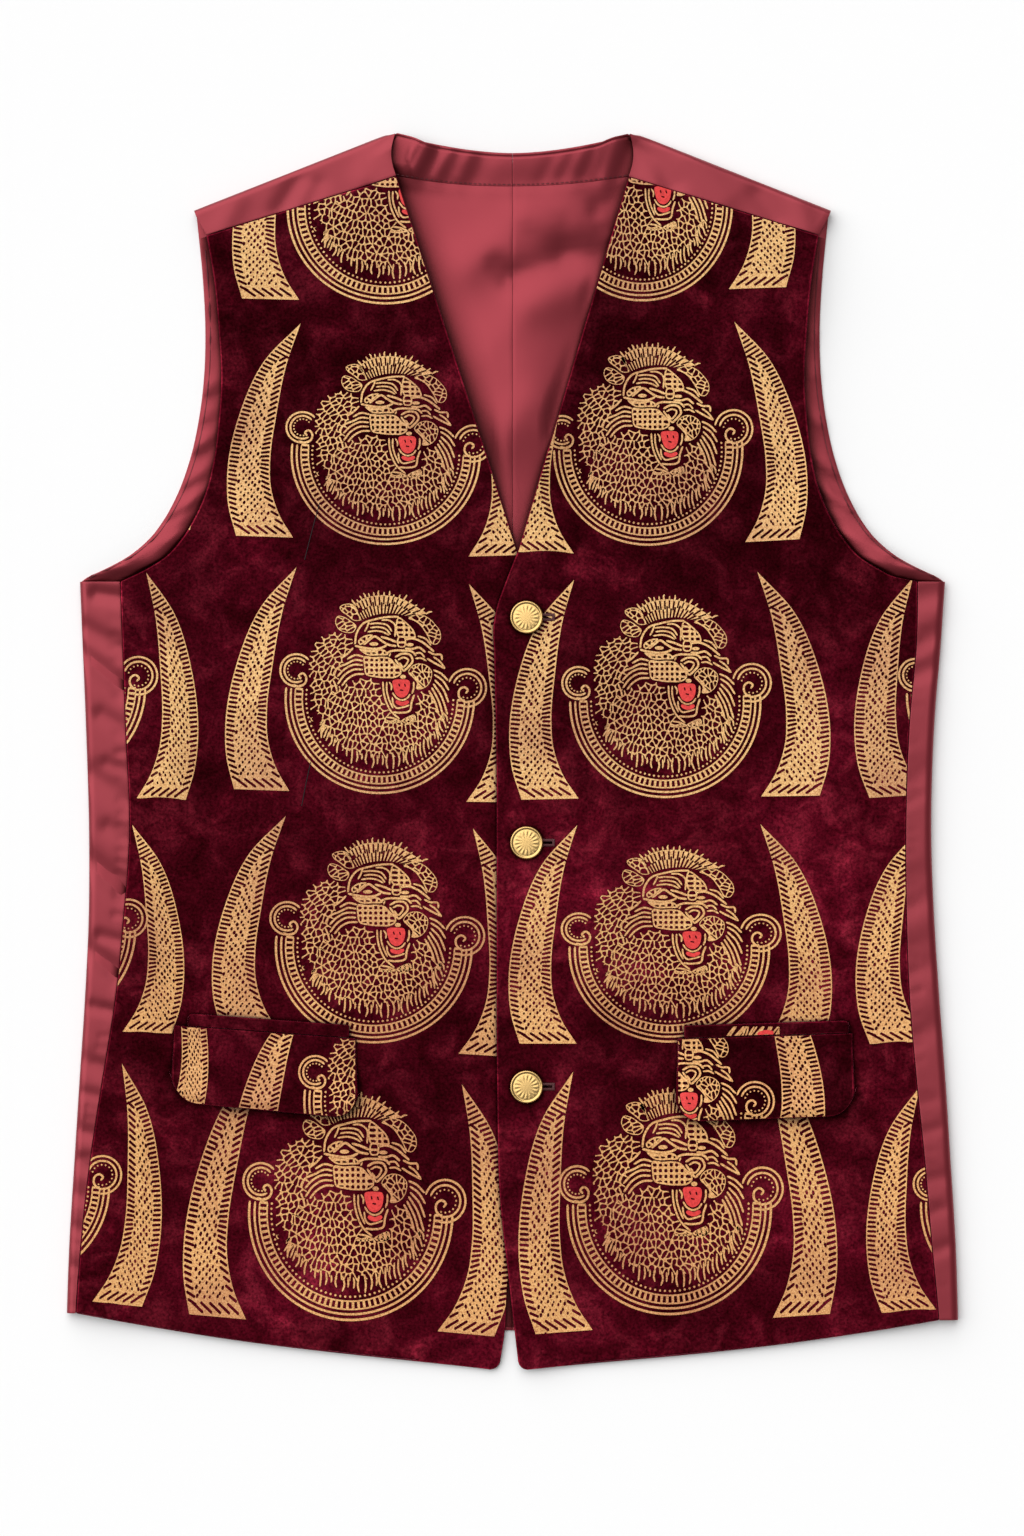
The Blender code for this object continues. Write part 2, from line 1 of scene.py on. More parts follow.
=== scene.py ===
"""The waistcoat as it looks: cloth shells with their creases, the gold print, stitches, buttons,
light and camera.

Sizes are in millimetres until a mesh is made, which is in metres. +X is the wearer's left, +Y runs
to the neck and +Z rises off the surface. Each half is worked out on its own side: "out" is the
distance from the centre line towards that half's side, and "up" is +Y.
"""

import math
from collections import namedtuple
from functools import partial

import bmesh
import bpy
import numpy as np
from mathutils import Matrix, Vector, geometry


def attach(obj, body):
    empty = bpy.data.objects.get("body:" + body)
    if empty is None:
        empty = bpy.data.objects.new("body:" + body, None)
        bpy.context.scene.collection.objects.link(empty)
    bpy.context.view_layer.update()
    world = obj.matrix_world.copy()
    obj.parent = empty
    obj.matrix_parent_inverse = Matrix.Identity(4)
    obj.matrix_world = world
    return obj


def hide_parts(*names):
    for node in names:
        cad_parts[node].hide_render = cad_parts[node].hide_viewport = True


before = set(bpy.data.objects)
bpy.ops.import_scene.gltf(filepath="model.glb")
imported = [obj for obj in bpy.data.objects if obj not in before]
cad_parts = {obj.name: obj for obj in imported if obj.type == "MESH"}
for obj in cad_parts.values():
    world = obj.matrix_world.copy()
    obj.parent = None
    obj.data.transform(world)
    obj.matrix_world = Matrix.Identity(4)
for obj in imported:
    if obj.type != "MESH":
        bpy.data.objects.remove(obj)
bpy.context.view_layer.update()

MM = 0.001
LEFT = 1
RIGHT = -1
SIDES = {"left": LEFT, "right": RIGHT}
WORDS = {LEFT: "left", RIGHT: "right"}


def table(kind, rows):
    """Rows whose columns have the names of a kind."""
    return [kind(*row) for row in rows]


# Driving dimensions of the laid garment.
LENGTH = 717.0
CHEST_WIDTH = 501.2
NECK_WIDTH = 137.0
SHOULDER_SPAN = 369.0
SHOULDER_DROP = 45.5
BACK_NECK_DIP = 12.2
SHOULDER_STRIP_AT_NECK = 26.0
SHOULDER_STRIP_AT_ARM = 14.5
SEAM_INSET_AT_NECK = 1.2
SEAM_INSET_AT_ARM = 7.3
UNDERARM = 98.0
UNDERARM_INSET = 0.4
SIDE_HEMS = {LEFT: -329.5, RIGHT: -325.5}
BACK_HEM = -336.0
BUTTON_DIAMETER = 19.0

# Walls and the room between them.
GAP = 0.3
SATIN_WALL = 1.0
LINING_WALL = 1.0
VELVET_WALL = 2.0
FLAP_WALL = 1.7
SIDE_ROLL = 7.0
SHOULDER_ROLL = 7.6
SHOULDER_BULGE = 3.8
SHOULDER_BULGE_AT_NECK = 1.5
SHOULDER_BULGE_TAPER = 14.0
VELVET_PROUD = 0.4
SATIN_ROUNDING = 0.15
VELVET_ROUNDING = 0.4

# Heights worked out from the walls.
LINING_TOP = SATIN_WALL + GAP + LINING_WALL
FRONT_TOP = LINING_TOP + GAP + VELVET_WALL
OVERLAP_RISE = VELVET_WALL + GAP

# Places worked out from the driving dimensions.
NECK_POINT = (NECK_WIDTH / 2, LENGTH / 2)
SHOULDER_TIP = (SHOULDER_SPAN / 2, LENGTH / 2 - SHOULDER_DROP)
SHOULDER_ANGLE = math.atan2(SHOULDER_DROP, SHOULDER_TIP[0] - NECK_POINT[0])
SHOULDER_OUTWARD = np.array([math.sin(SHOULDER_ANGLE), math.cos(SHOULDER_ANGLE)])
SEAM_AT_NECK = (NECK_POINT[0] - SEAM_INSET_AT_NECK, NECK_POINT[1] - SHOULDER_STRIP_AT_NECK)
SEAM_AT_ARM = (SHOULDER_TIP[0] - SEAM_INSET_AT_ARM, SHOULDER_TIP[1] - SHOULDER_STRIP_AT_ARM)
FRONT_HEM = -LENGTH / 2
BACK_NECK = NECK_POINT[1] - BACK_NECK_DIP
BACK_NECK_ROUNDNESS = 1.75
FACING_SEAM_CENTRE = 327.0
FACING_SEAM_SIDE = 333.0
FACING_END = 73.0
FACING_INSET = 0.8
LINING_INSET = 1.0
LINING_HEM_RISE = 2.0

# How far each rise of a front reaches in from the seam or edge that lifts it.
SIDE_SLOPE = 62.0
SHOULDER_SLOPE = 78.0
OVERLAP_FLAT = 15.0
OVERLAP_SLOPE = 36.0
UNDERARM_SETTLE = 70.0
HEM_DROOP = 1.5
HEM_DROOP_REACH = 22.0
HEM_SAG = 3.3
HEM_SAG_LEAN = 1.25
HEM_SAG_REACH = 60.0
FRONT_CORNER_RADIUS = 5.0
LINING_FLAT_BY_FRONT = 3.0
LINING_FOLD_FADE = 22.0
LINING_FADE_SHARE = 0.6
LINING_CLEARANCE = 0.1
FOLD_LIMIT = 10.0
FACING_FOLD_FADE = 6.0
FACING_FADE_RISE = 16.0
FACING_END_RISE = 4.2
FACING_END_START = 36.0
FACING_END_LENGTH = 30.0
NECK_GROOVE = 0.55
NECK_GROOVE_INSET = 1.7
NECK_GROOVE_WIDTH = 0.6
NECK_LIFT = 4.2
NECK_LIFT_REACH = 26.0
NECK_END_START = 48.0
NECK_END_LENGTH = 20.0
NECK_END_REACH = 1.8
NECK_CLIMB = 12.0
NECK_CLIMB_END = 1.0
NECK_CLIMB_FADE = 3.0
NECK_EDGE_BOW = 2.4
NECK_RIM_START = 0.35
NECK_EDGE_REACH = 14.0
NECK_ROUND = 1.1
NECK_ROUND_REACH = 6.0
SEAM_SHUT = 0.06
# The edges of the fronts stand up along the V, to a height, and along the armholes, by a rise.
V_TOPS = {LEFT: 6.6, RIGHT: 11.0}
V_LIFT_REACH = 18.0
V_LIFT_FROM = 126.0
ARM_LIFTS = {LEFT: 4.6, RIGHT: 0.6}
ARM_LIFT_REACH = 12.0
ARM_LIFT_FROM = 106.0
ARM_LIFT_TO = 262.0
LIFT_RISE = 50.0

# The fold at the side and the side seam on the front, from the underarm to the hem.
SideSection = namedtuple("SideSection", "up fold_right fold_left seam_right seam_left")
SIDE_SECTIONS = table(SideSection, [
    (SIDE_HEMS[LEFT], 258.3, 258.2, 252.9, 246.9),
    (SIDE_HEMS[RIGHT], 258.2, 258.1, 252.7, 246.6),
    (-284, 256.7, 256.7, 249.7, 242.7),
    (-237, 253.8, 253.8, 244.5, 238.7),
    (-191, 250.9, 250.9, 237.5, 234.0),
    (-144, 247.8, 247.4, 230.0, 230.0),
    (-98, 245.6, 244.4, 225.3, 228.2),
    (-52, 245.3, 242.7, 221.9, 227.7),
    (18, 247.3, 244.6, 224.2, 230.0),
    (64, 249.2, 248.3, 225.9, 234.0),
    (UNDERARM, 250.6, 250.6, 227.1, 234.6),
])

# The armhole edges of the back and of the fronts, from the underarm to the shoulder.
ArmholeSection = namedtuple("ArmholeSection", "up back front")
ARMHOLE_SECTIONS = table(ArmholeSection, [
    (101, 246.0, 220.6),
    (104, 239.4, 214.5),
    (111, 225.7, 202.8),
    (122, 211.6, 192.2),
    (134, 202.2, 184.7),
    (146, 195.6, 179.1),
    (169, 187.0, 173.1),
    (192, 181.9, 170.3),
    (215, 179.0, 168.9),
    (244, 178.1, 170.3),
    (273, 179.5, 172.9),
])

# The front edges below the V. A negative value reaches past the centre line.
FrontEdge = namedtuple("FrontEdge", "up left right")
FRONT_EDGES = table(FrontEdge, [
    (FRONT_HEM, 3.8, 7.8),
    (-336, 1.2, 4.4),
    (-305, -2.3, 2.2),
    (-260, -7.2, -10.0),
    (-200, -8.8, -20.0),
    (-100, -9.2, -23.0),
    (0, -9.4, -23.8),
    (55, -10.6, -21.4),
    (74, -10.9, -16.0),
    (83, -9.1, -13.2),
    (98, -3.9, -8.5),
    (110, 0.8, -4.6),
    (117, 3.6, -2.4),
])

# Soft folds: a ridge, or a trough where the height is negative, in garment x and y.
Fold = namedtuple("Fold", "x0 y0 x1 y1 width height")
FOLDS = {
    "lining": table(Fold, [
        (0, 318, 0, 200, 34, 2.7),
        (-34, 278, -10, 290, 14, 2.0),
        (-9, 281, -3, 275, 7, -1.95),
        (8, 312, 50, 304, 11, 1.95),
        (4, 318, 30, 306, 5, -0.75),
        (1, 273, 30, 288, 8, -1.65),
        (30, 288, 56, 287, 8, -1.5),
        (10, 258, 46, 268, 12, 1.5),
        (48, 314, 66, 321, 3.5, -1.5),
        (50, 302, 63, 310, 3, -0.9),
        (-30, 222, -6, 240, 13, 1.05),
        (2, 220, 22, 196, 13, 0.9),
        (-12, 172, 6, 200, 11, 0.75),
        (17, 331, 25, 346, 4.5, -0.35),
        (29, 333, 37, 349, 4.5, -0.5),
        (41, 334, 49, 352, 4.2, -0.6),
        (-61, 343, -55, 353, 3.6, 1.6),
        (-58, 334, -50, 349, 4.5, 1.9),
        (-44, 333, -35, 350, 4.5, 1.2),
        (-30, 333, -24, 347, 5, 0.8),
        (54, 332, 61, 352, 5, 1.4),
        (-48, 336, -42, 348, 7, -0.6),
        (-24, 330, -16, 344, 7, -0.6),
        (26, 312, 14, 190, 24, 1.8),
        (38, 330, 44, 352, 15, 1.2),
    ]),
    "front_left": table(Fold, [
        (120, 60, 150, -110, 30, 0.9),
        (196, 40, 206, -70, 16, 0.8),
    ]),
    "front_right": table(Fold, [
        (-132, 150, -122, 20, 26, 0.9),
        (-190, 60, -204, -60, 14, 0.8),
    ]),
    "shoulder_left": table(Fold, [
        (76, 354, 92, 328, 7, -1.3),
        (104, 344, 122, 320, 9, 0.9),
        (142, 322, 152, 308, 6, -0.9),
        (166, 318, 170, 302, 6, 0.8),
    ]),
    "shoulder_right": table(Fold, [
        (-78, 352, -84, 332, 8, 1.2),
        (-124, 330, -134, 314, 6, -1.3),
        (-112, 328, -118, 316, 5, -0.7),
        (-160, 318, -168, 302, 7, 0.9),
    ]),
}

# Puckers where the satin at each side meets the seam: troughs that run out and up from it.
Pucker = namedtuple("Pucker", "up reach climb depth width")
PUCKERS = {
    RIGHT: table(Pucker, [
        (89, 14, 2, 1.6, 4.5),
        (59, 22, 12, 1.6, 6.0),
        (37, 25, 20, 2.3, 7.0),
        (13, 14, 8, 1.0, 5.0),
        (-12, 12, 5, 0.8, 4.0),
        (-28, 22, 14, 1.7, 7.5),
        (-50, 12, 6, 0.9, 5.0),
        (-81, 25, 20, 2.4, 7.5),
        (-110, 12, 3, 0.9, 4.0),
        (-129, 23, 18, 2.3, 7.0),
        (-151, 12, 3, 1.0, 4.0),
        (-184, 18, 7, 1.1, 6.0),
        (-200, 10, 2, 0.8, 4.0),
        (-221, 14, 3, 1.0, 5.0),
        (-240, 12, 4, 1.0, 5.0),
        (-258, 12, 3, 1.0, 5.0),
        (-277, 12, 3, 1.0, 5.0),
        (-300, 10, 3, 0.8, 4.0),
    ]),
    LEFT: table(Pucker, [
        (88, 14, 4, 0.9, 7.0),
        (61, 14, 8, 0.9, 6.5),
        (44, 14, 6, 0.9, 6.5),
        (-18, 12, 8, 0.4, 7.0),
        (-30, 8, 4, 0.3, 4.0),
        (-76, 14, 6, 0.45, 8.0),
        (-91, 14, 8, 0.6, 7.0),
        (-115, 14, 6, 0.4, 7.0),
        (-129, 14, 7, 0.6, 7.5),
        (-141, 6, 2, 0.3, 3.0),
        (-167, 14, 9, 0.5, 7.5),
        (-204, 8, 2, 0.3, 4.0),
        (-221, 10, 3, 0.4, 4.0),
        (-249, 12, 3, 0.5, 5.0),
        (-268, 8, 3, 0.4, 4.0),
        (-289, 10, 3, 0.5, 4.0),
    ]),
}
# Small gathers between them, close to the seam, at uneven distances.
GATHER_GAPS = (5.0, 11.0)
GATHER_REACH = 5.0
GATHER_WIDTH = 2.6
GATHER_DEPTHS = {LEFT: (0.0, 0.12), RIGHT: (0.0, 0.4)}
GATHER_CLIMBS = (-1.0, 2.5)
GATHER_MARGIN = 4.0
GATHER_SEED = 17
# How far in from its fold the satin of each side is rounded on top, and the most of its width.
SIDE_ROUNDS = {LEFT: 4.5, RIGHT: 4.0}
SIDE_ROUND_SHARE = 0.7

# Ridges across the lining that shows in each armhole.
ArmPucker = namedtuple("ArmPucker", "up climb height")
ARM_PUCKERS = {
    RIGHT: table(ArmPucker, [
        (286, 8, 1.2),
        (270, 9, 0.9),
        (251, 6, 1.3),
        (236, 4, 0.8),
        (214, -4, 1.5),
        (199, -6, 0.8),
        (184, -8, 1.6),
        (166, -11, 1.2),
        (150, -13, 2.0),
        (138, -14, 1.6),
        (127, -14, 2.4),
        (118, -12, 1.8),
        (111, -9, 2.0),
    ]),
    LEFT: table(ArmPucker, [
        (270, 6, 0.8),
        (240, 2, 1.0),
        (221, -3, 0.9),
        (196, -7, 1.3),
        (172, -10, 1.5),
        (153, -13, 2.0),
        (140, -14, 1.4),
        (128, -14, 2.4),
        (118, -12, 1.8),
        (110, -8, 2.0),
    ]),
}
ARM_PUCKER_WIDTH = 3.6
ARM_PUCKER_FADE = 4.0
ARM_PUCKER_START = 0.1
ARM_RING_RISE = 2.6

# Pocket flaps, by their top edge, and the two rounded lower corners.
Flap = namedtuple("Flap", "side inner_out inner_up inner_depth outer_out outer_up outer_depth")
FLAPS = {
    "left": Flap(LEFT, 95.4, -166.6, 48.0, 196.8, -163.4, 47.6),
    "right": Flap(RIGHT, 90.6, -166.5, 46.2, 196.0, -158.8, 44.2),
}
FLAP_INNER_CORNER = 13.0
FLAP_OUTER_CORNER = 14.0
FLAP_LIFT = 1.0
FLAP_PUFF = 4.2
FLAP_EDGE_ROLL = 1.2
FLAP_EDGE_REACH = 5.0
FLAP_ROLL_START = 0.2
WELT_HEIGHT = 7.2
WELT_INNER_INSET = 4.0
WELT_OUTER_INSETS = {LEFT: 2.0, RIGHT: 8.0}
WELT_CORNER = 3.0

# Buttons along the centre front, and the keyhole buttonhole that each goes through.
CENTRE_FRONT = 8.1
BUTTON_UPS = (77.4, -53.1, -194.3)
BUTTON_RISE = 2.7
SHANK_RADIUS = 1.6
HOLE_EYE_RADIUS = 2.4
HOLE_SLIT_WIDTH = 1.5
HOLE_LENGTH = 15.0

# How finely the sheets are divided.
SIDE_ROWS = 260
ARMHOLE_ROWS = 64
ARMHOLE_ROW_BUNCHING = 1.6
FRONT_COLUMNS = 84
NECK_COLUMNS = 26
SHOULDER_COLUMNS = 52
SHOULDER_COLUMN_BUNCHING = 1.6
ROLL_STEPS = 16
STRIP_STEPS = 14
FACING_COLUMNS = 90
FACING_ROWS = 44
FLAP_COLUMNS = 34
FLAP_ROWS = 22
WELT_COLUMNS = 40
WELT_ROWS = 5
# Rows and columns close to a rounded corner, as shares of its radius.
FRONT_CORNER_ROWS = (0.12, 0.3, 0.6, 1.0)
LEAST_ROW_GAP = 0.001
SAME_PLACE = 1e-6
FLAP_CORNER_COLUMNS = (0.0, 0.05, 0.12, 0.22, 0.36, 0.55, 0.77, 1.0)
WELT_CORNER_COLUMNS = (0.7, 0.45, 0.25, 0.1, 0.0)
# Shares of a panel's height or of a roll's half turn where a bend or the creases come in.
TOP_BEND_START = 0.62
CREASE_START = 0.4
CREASE_RISE = 0.4

# The photograph's frame, in pixels, and the garment's place in it.
PHOTO_WIDTH = 1024
PHOTO_HEIGHT = 1536
PHOTO_CENTRE_X = 512.5
PHOTO_CENTRE_Y = 751.0
MM_PER_PIXEL = 0.58


def from_photo(x, y):
    """A place in the photograph, in its pixels, as garment x and y."""
    return (x - PHOTO_CENTRE_X) * MM_PER_PIXEL, (PHOTO_CENTRE_Y - y) * MM_PER_PIXEL


def mix(start, end, share):
    return start + (end - start) * share


def soft_step(value):
    """0 below 0, 1 above 1, with a smooth rise between."""
    share = np.clip(value, 0.0, 1.0)
    return share * share * (3 - 2 * share)


def smooth_through(places, values, at):
    """A cubic curve through the given places, with slopes taken from each one's neighbours."""
    places = np.asarray(places, float)
    values = np.asarray(values, float)
    slopes = np.gradient(values, places)
    i = np.clip(np.searchsorted(places, at) - 1, 0, len(places) - 2)
    length = places[i + 1] - places[i]
    t = (at - places[i]) / length
    start = (1 + 2 * t) * (1 - t) ** 2 * values[i] + t * (1 - t) ** 2 * length * slopes[i]
    end = t * t * (3 - 2 * t) * values[i + 1] + t * t * (t - 1) * length * slopes[i + 1]
    return start + end


def corner_trim(distance, radius):
    """How much a rounded corner takes off a straight edge, at a distance from the side."""
    left = np.clip(radius - distance, 0.0, radius)
    return radius - np.sqrt(radius**2 - left**2)


def column(rows, name):
    return [getattr(row, name) for row in rows]


def side_line(name, side, up):
    """The fold or the seam of one side, as a distance out."""
    return smooth_through(column(SIDE_SECTIONS, "up"), column(SIDE_SECTIONS, f"{name}_{WORDS[side]}"), up)


def shoulder_bulge(share):
    """How far the roll reaches out at a share of the shoulder line; it is pinched at the neck."""
    along = np.asarray(share) * math.dist(NECK_POINT, SHOULDER_TIP)
    return mix(SHOULDER_BULGE_AT_NECK, SHOULDER_BULGE, soft_step(along / SHOULDER_BULGE_TAPER))


def roll_start(share):
    """Where the back leaves the surface to roll over the shoulder line."""
    fold = mix(np.array(NECK_POINT), np.array(SHOULDER_TIP), np.asarray(share, float)[..., None])
    return fold - SHOULDER_OUTWARD * shoulder_bulge(share)[..., None]


BACK_ARM_TOP = roll_start(1.0)
BACK_NECK_CORNER = roll_start(0.0)


def shoulder_share(out):
    return (out - BACK_NECK_CORNER[0]) / (BACK_ARM_TOP[0] - BACK_NECK_CORNER[0])


def armhole(first_out, last, name, up):
    """An armhole edge from the underarm, at first_out, to the place called last."""
    rows = [row for row in ARMHOLE_SECTIONS if row.up < last[1]]
    ups = [UNDERARM, *column(rows, "up"), last[1]]
    outs = [first_out, *column(rows, name), last[0]]
    return smooth_through(ups, outs, np.clip(up, UNDERARM, last[1]))


def back_outer(side, up):
    """The edge of the part of the back that lies on the surface."""
    at_side = side_line("fold", side, np.minimum(up, UNDERARM)) - SIDE_ROLL / 2
    at_arm = armhole(CHEST_WIDTH / 2 - UNDERARM_INSET, BACK_ARM_TOP, "back", up)
    return np.where(up <= UNDERARM, at_side, at_arm)


def lining_outer(side, up):
    return back_outer(side, up) - LINING_INSET


def front_outer(side, up):
    at_side = side_line("seam", side, np.clip(up, SIDE_HEMS[side], UNDERARM))
    at_arm = armhole(float(side_line("seam", side, UNDERARM)), SEAM_AT_ARM, "front", up)
    return np.where(up <= UNDERARM, at_side, at_arm)


def front_edge(side, up):
    """The front edge: the V is straight, and the edge below it follows its table."""
    ups = column(FRONT_EDGES, "up")
    edges = column(FRONT_EDGES, WORDS[side])
    up = np.clip(up, FRONT_HEM, SEAM_AT_NECK[1])
    straight = mix(edges[-1], SEAM_AT_NECK[0], (up - ups[-1]) / (SEAM_AT_NECK[1] - ups[-1]))
    below = smooth_through(ups, edges, up) + corner_trim(up - FRONT_HEM, FRONT_CORNER_RADIUS)
    return np.where(up >= ups[-1], straight, below)


def back_neck(out):
    """The back neck edge, and past the neck corner the line where the shoulder roll starts."""
    neck_share = np.clip(out / BACK_NECK_CORNER[0], 0.0, 1.0)
    neck = mix(BACK_NECK, BACK_NECK_CORNER[1], neck_share**BACK_NECK_ROUNDNESS)
    return np.where(out <= BACK_NECK_CORNER[0], neck, roll_start(shoulder_share(out))[..., 1])


def facing_seam(out):
    return mix(FACING_SEAM_CENTRE, FACING_SEAM_SIDE, (out / SEAM_AT_NECK[0]) ** 2)


def facing_top_edge(out):
    """The facing's neck edge; it climbs towards the fold at each end."""
    climb = soft_step((out - NECK_END_START) / NECK_CLIMB)
    past_end = soft_step((out - SEAM_AT_NECK[0] + NECK_CLIMB_END) / NECK_CLIMB_FADE)
    return back_neck(out) - FACING_INSET + NECK_END_REACH * (climb * (1 - past_end))


def seam_share(out):
    return (out - SEAM_AT_NECK[0]) / (SEAM_AT_ARM[0] - SEAM_AT_NECK[0])


def lining_top_edge(out):
    """The lining ends below the facing, and past the neck along the shoulder seam."""
    shoulder = mix(FACING_SEAM_SIDE - SEAM_SHUT, SEAM_AT_ARM[1] - GAP, seam_share(out))
    return np.where(out <= SEAM_AT_NECK[0], facing_seam(out) - SEAM_SHUT, shoulder)


def shoulder_seam_up(out):
    return mix(SEAM_AT_NECK[1], SEAM_AT_ARM[1], seam_share(out))


def ridge(fold, x, y):
    """The height that one fold adds, fading out across it and past its ends."""
    run = (fold.x1 - fold.x0, fold.y1 - fold.y0)
    length = math.hypot(*run)
    along = ((x - fold.x0) * run[0] + (y - fold.y0) * run[1]) / length**2
    across = ((x - fold.x0) * run[1] - (y - fold.y0) * run[0]) / length
    past_end = np.maximum(np.maximum(-along, along - 1), 0.0) * length
    return fold.height * np.exp(-(across**2 + past_end**2) / fold.width**2)


def folds_at(folds, x, y):
    """The height that some folds add at a place."""
    return sum((ridge(fold, x, y) for fold in folds), np.zeros_like(x))


def side_troughs(side):
    """The puckers and gathers along one side seam."""
    scatter = np.random.default_rng(GATHER_SEED + side)
    puckers = list(PUCKERS[side])
    up = SIDE_HEMS[side] + GATHER_MARGIN
    while up < UNDERARM - GATHER_MARGIN:
        depth = scatter.uniform(*GATHER_DEPTHS[side])
        puckers.append(Pucker(up, GATHER_REACH, scatter.uniform(*GATHER_CLIMBS), depth, GATHER_WIDTH))
        up += scatter.uniform(*GATHER_GAPS)
    troughs = []
    for up, reach, climb, depth, width in puckers:
        seam = float(side_line("seam", side, up))
        troughs.append(Fold(seam, up, seam + reach, up + climb, width, -depth))
    return troughs


def neck_lift(out, up):
    """How far the back and its facing rise off the surface towards the neck edge."""
    fade = 1 - soft_step((out - NECK_END_START) / NECK_END_LENGTH)
    return NECK_LIFT * (1 - soft_step((back_neck(out) - up) / NECK_LIFT_REACH)) * fade


def near_underarm(up):
    """1 up to the underarm, falling to 0 some way above it."""
    return 1 - soft_step((up - UNDERARM) / UNDERARM_SETTLE)


def arm_puckers_at(side, out, up):
    """Ridges across the ring of lining that shows in an armhole."""
    total = np.zeros_like(out)
    for first, climb, height in ARM_PUCKERS[side]:
        last = first + climb
        inner = float(front_outer(side, np.array(first)))
        outer = float(lining_outer(side, np.array(last)))
        total += ridge(Fold(inner, first, outer, last, ARM_PUCKER_WIDTH, height), out, up)
    past_front = (out - front_outer(side, up)) / ARM_PUCKER_FADE
    ring = ARM_RING_RISE * near_underarm(up) * soft_step(past_front + 1)
    return total * soft_step(past_front - ARM_PUCKER_START) + ring


def lining_height(side, out, up):
    """The height of the lining's and facing's upper face: its folds stay under the fronts."""
    edge = front_edge(side, up)
    room = np.maximum(front_top(side, np.maximum(out, edge), up) - FRONT_TOP - LINING_CLEARANCE, 0.0)
    in_facing = soft_step((up - facing_seam(out)) / FACING_FADE_RISE + 0.5)
    reach = np.minimum(LINING_FOLD_FADE, LINING_FADE_SHARE * np.maximum(edge, 1.0))
    reach = mix(reach, FACING_FOLD_FADE, in_facing)
    fade = soft_step((edge - out - LINING_FLAT_BY_FRONT) / reach)
    folds = np.maximum(folds_at(FOLDS["lining"], side * out, up), 0.0)
    if side == LEFT:
        folds = np.minimum(folds, room + FOLD_LIMIT * fade)
    else:
        facing_end = soft_step((out - FACING_END_START) / FACING_END_LENGTH)
        folds = folds * fade + FACING_END_RISE * facing_end * in_facing
    return LINING_TOP + folds + neck_lift(out, up) + arm_puckers_at(side, out, up)


def facing_height(side, out, up):
    """The facing follows the lining, with a groove below its neck edge, where it is stitched."""
    below_edge = facing_top_edge(out) - up
    groove = NECK_GROOVE * np.exp(-(((below_edge - NECK_GROOVE_INSET) / NECK_GROOVE_WIDTH) ** 2))
    return lining_height(side, out, up) - groove


def edge_lift(gap, up, lift, reach, first, last):
    """How far an edge of a front stands up between two heights, at a distance in from that edge."""
    along = soft_step((up - first) / LIFT_RISE) * (1 - soft_step((up - last) / LIFT_RISE))
    return lift * (1 - soft_step(gap / reach)) * along


def front_top(side, out, up):
    """The height of a front's outer face. It rises to the side roll, the shoulder and the overlap."""
    height = FRONT_TOP + folds_at(FOLDS[f"front_{WORDS[side]}"], side * out, up)
    to_outer = front_outer(side, up) - out
    side_share = soft_step(1 - to_outer / SIDE_SLOPE)
    height = height + (SIDE_ROLL + VELVET_PROUD - FRONT_TOP) * side_share * near_underarm(up)
    top_share = soft_step(1 - (shoulder_seam_up(out) - up) / SHOULDER_SLOPE)
    height = height + (SHOULDER_ROLL + VELVET_PROUD - FRONT_TOP) * top_share
    v_lift = np.maximum(V_TOPS[side] - height, 0.0)
    height = height + edge_lift(out - front_edge(side, up), up, v_lift, V_LIFT_REACH, V_LIFT_FROM, LENGTH)
    height = height + edge_lift(to_outer, up, ARM_LIFTS[side], ARM_LIFT_REACH, ARM_LIFT_FROM, ARM_LIFT_TO)
    if side == LEFT:
        past_flat = out + front_edge(RIGHT, up) - OVERLAP_FLAT
        height = height + OVERLAP_RISE * soft_step(1 - past_flat / OVERLAP_SLOPE)
    return height - HEM_DROOP * soft_step((BACK_HEM - up) / HEM_DROOP_REACH)


def flap_edges(flap, out):
    """The top and bottom edges of a flap, as heights at a distance out."""
    across = (out - flap.inner_out) / (flap.outer_out - flap.inner_out)
    top = mix(flap.inner_up, flap.outer_up, across)
    depth = mix(flap.inner_depth, flap.outer_depth, across)
    trim = corner_trim(out - flap.inner_out, FLAP_INNER_CORNER)
    trim = trim + corner_trim(flap.outer_out - out, FLAP_OUTER_CORNER)
    return top, top - depth + trim


def welt_top(flap, out, up):
    return front_top(flap.side, out, up) + GAP + FLAP_WALL


def flap_top(flap, out, up):
    """The height of a flap's outer face: it lies on the front at its top and lifts to its lower edge."""
    top, bottom = flap_edges(flap, out)
    drop = np.clip((top - up) / (top - bottom), 0.0, 1.0)
    edge = np.minimum(np.minimum(out - flap.inner_out, flap.outer_out - out), up - bottom)
    roll = FLAP_EDGE_ROLL * (1 - soft_step(edge / FLAP_EDGE_REACH)) * soft_step(drop / FLAP_ROLL_START)
    return welt_top(flap, out, up) + FLAP_LIFT * drop + FLAP_PUFF * drop**2 - roll


def spread_rows(first, last):
    """Heights of the rows at a panel's outer edge: even along the side, close above the underarm."""
    side = np.linspace(first, UNDERARM, SIDE_ROWS)
    arm = UNDERARM + (last - UNDERARM) * np.linspace(0, 1, ARMHOLE_ROWS) ** ARMHOLE_ROW_BUNCHING
    return np.concatenate([side, arm[1:]])


def neck_and_shoulder_columns(corner, top_out):
    """Column shares with one of them at the neck corner."""
    at_corner = (corner - SEAM_SHUT / 2) / (top_out - SEAM_SHUT / 2)
    neck = np.linspace(0, at_corner, NECK_COLUMNS)
    shoulder = mix(at_corner, 1, np.linspace(0, 1, SHOULDER_COLUMNS) ** SHOULDER_COLUMN_BUNCHING)
    return np.concatenate([neck, shoulder[1:]])


def grid_of(out, up, height):
    return np.stack([out, up, height], axis=-1)


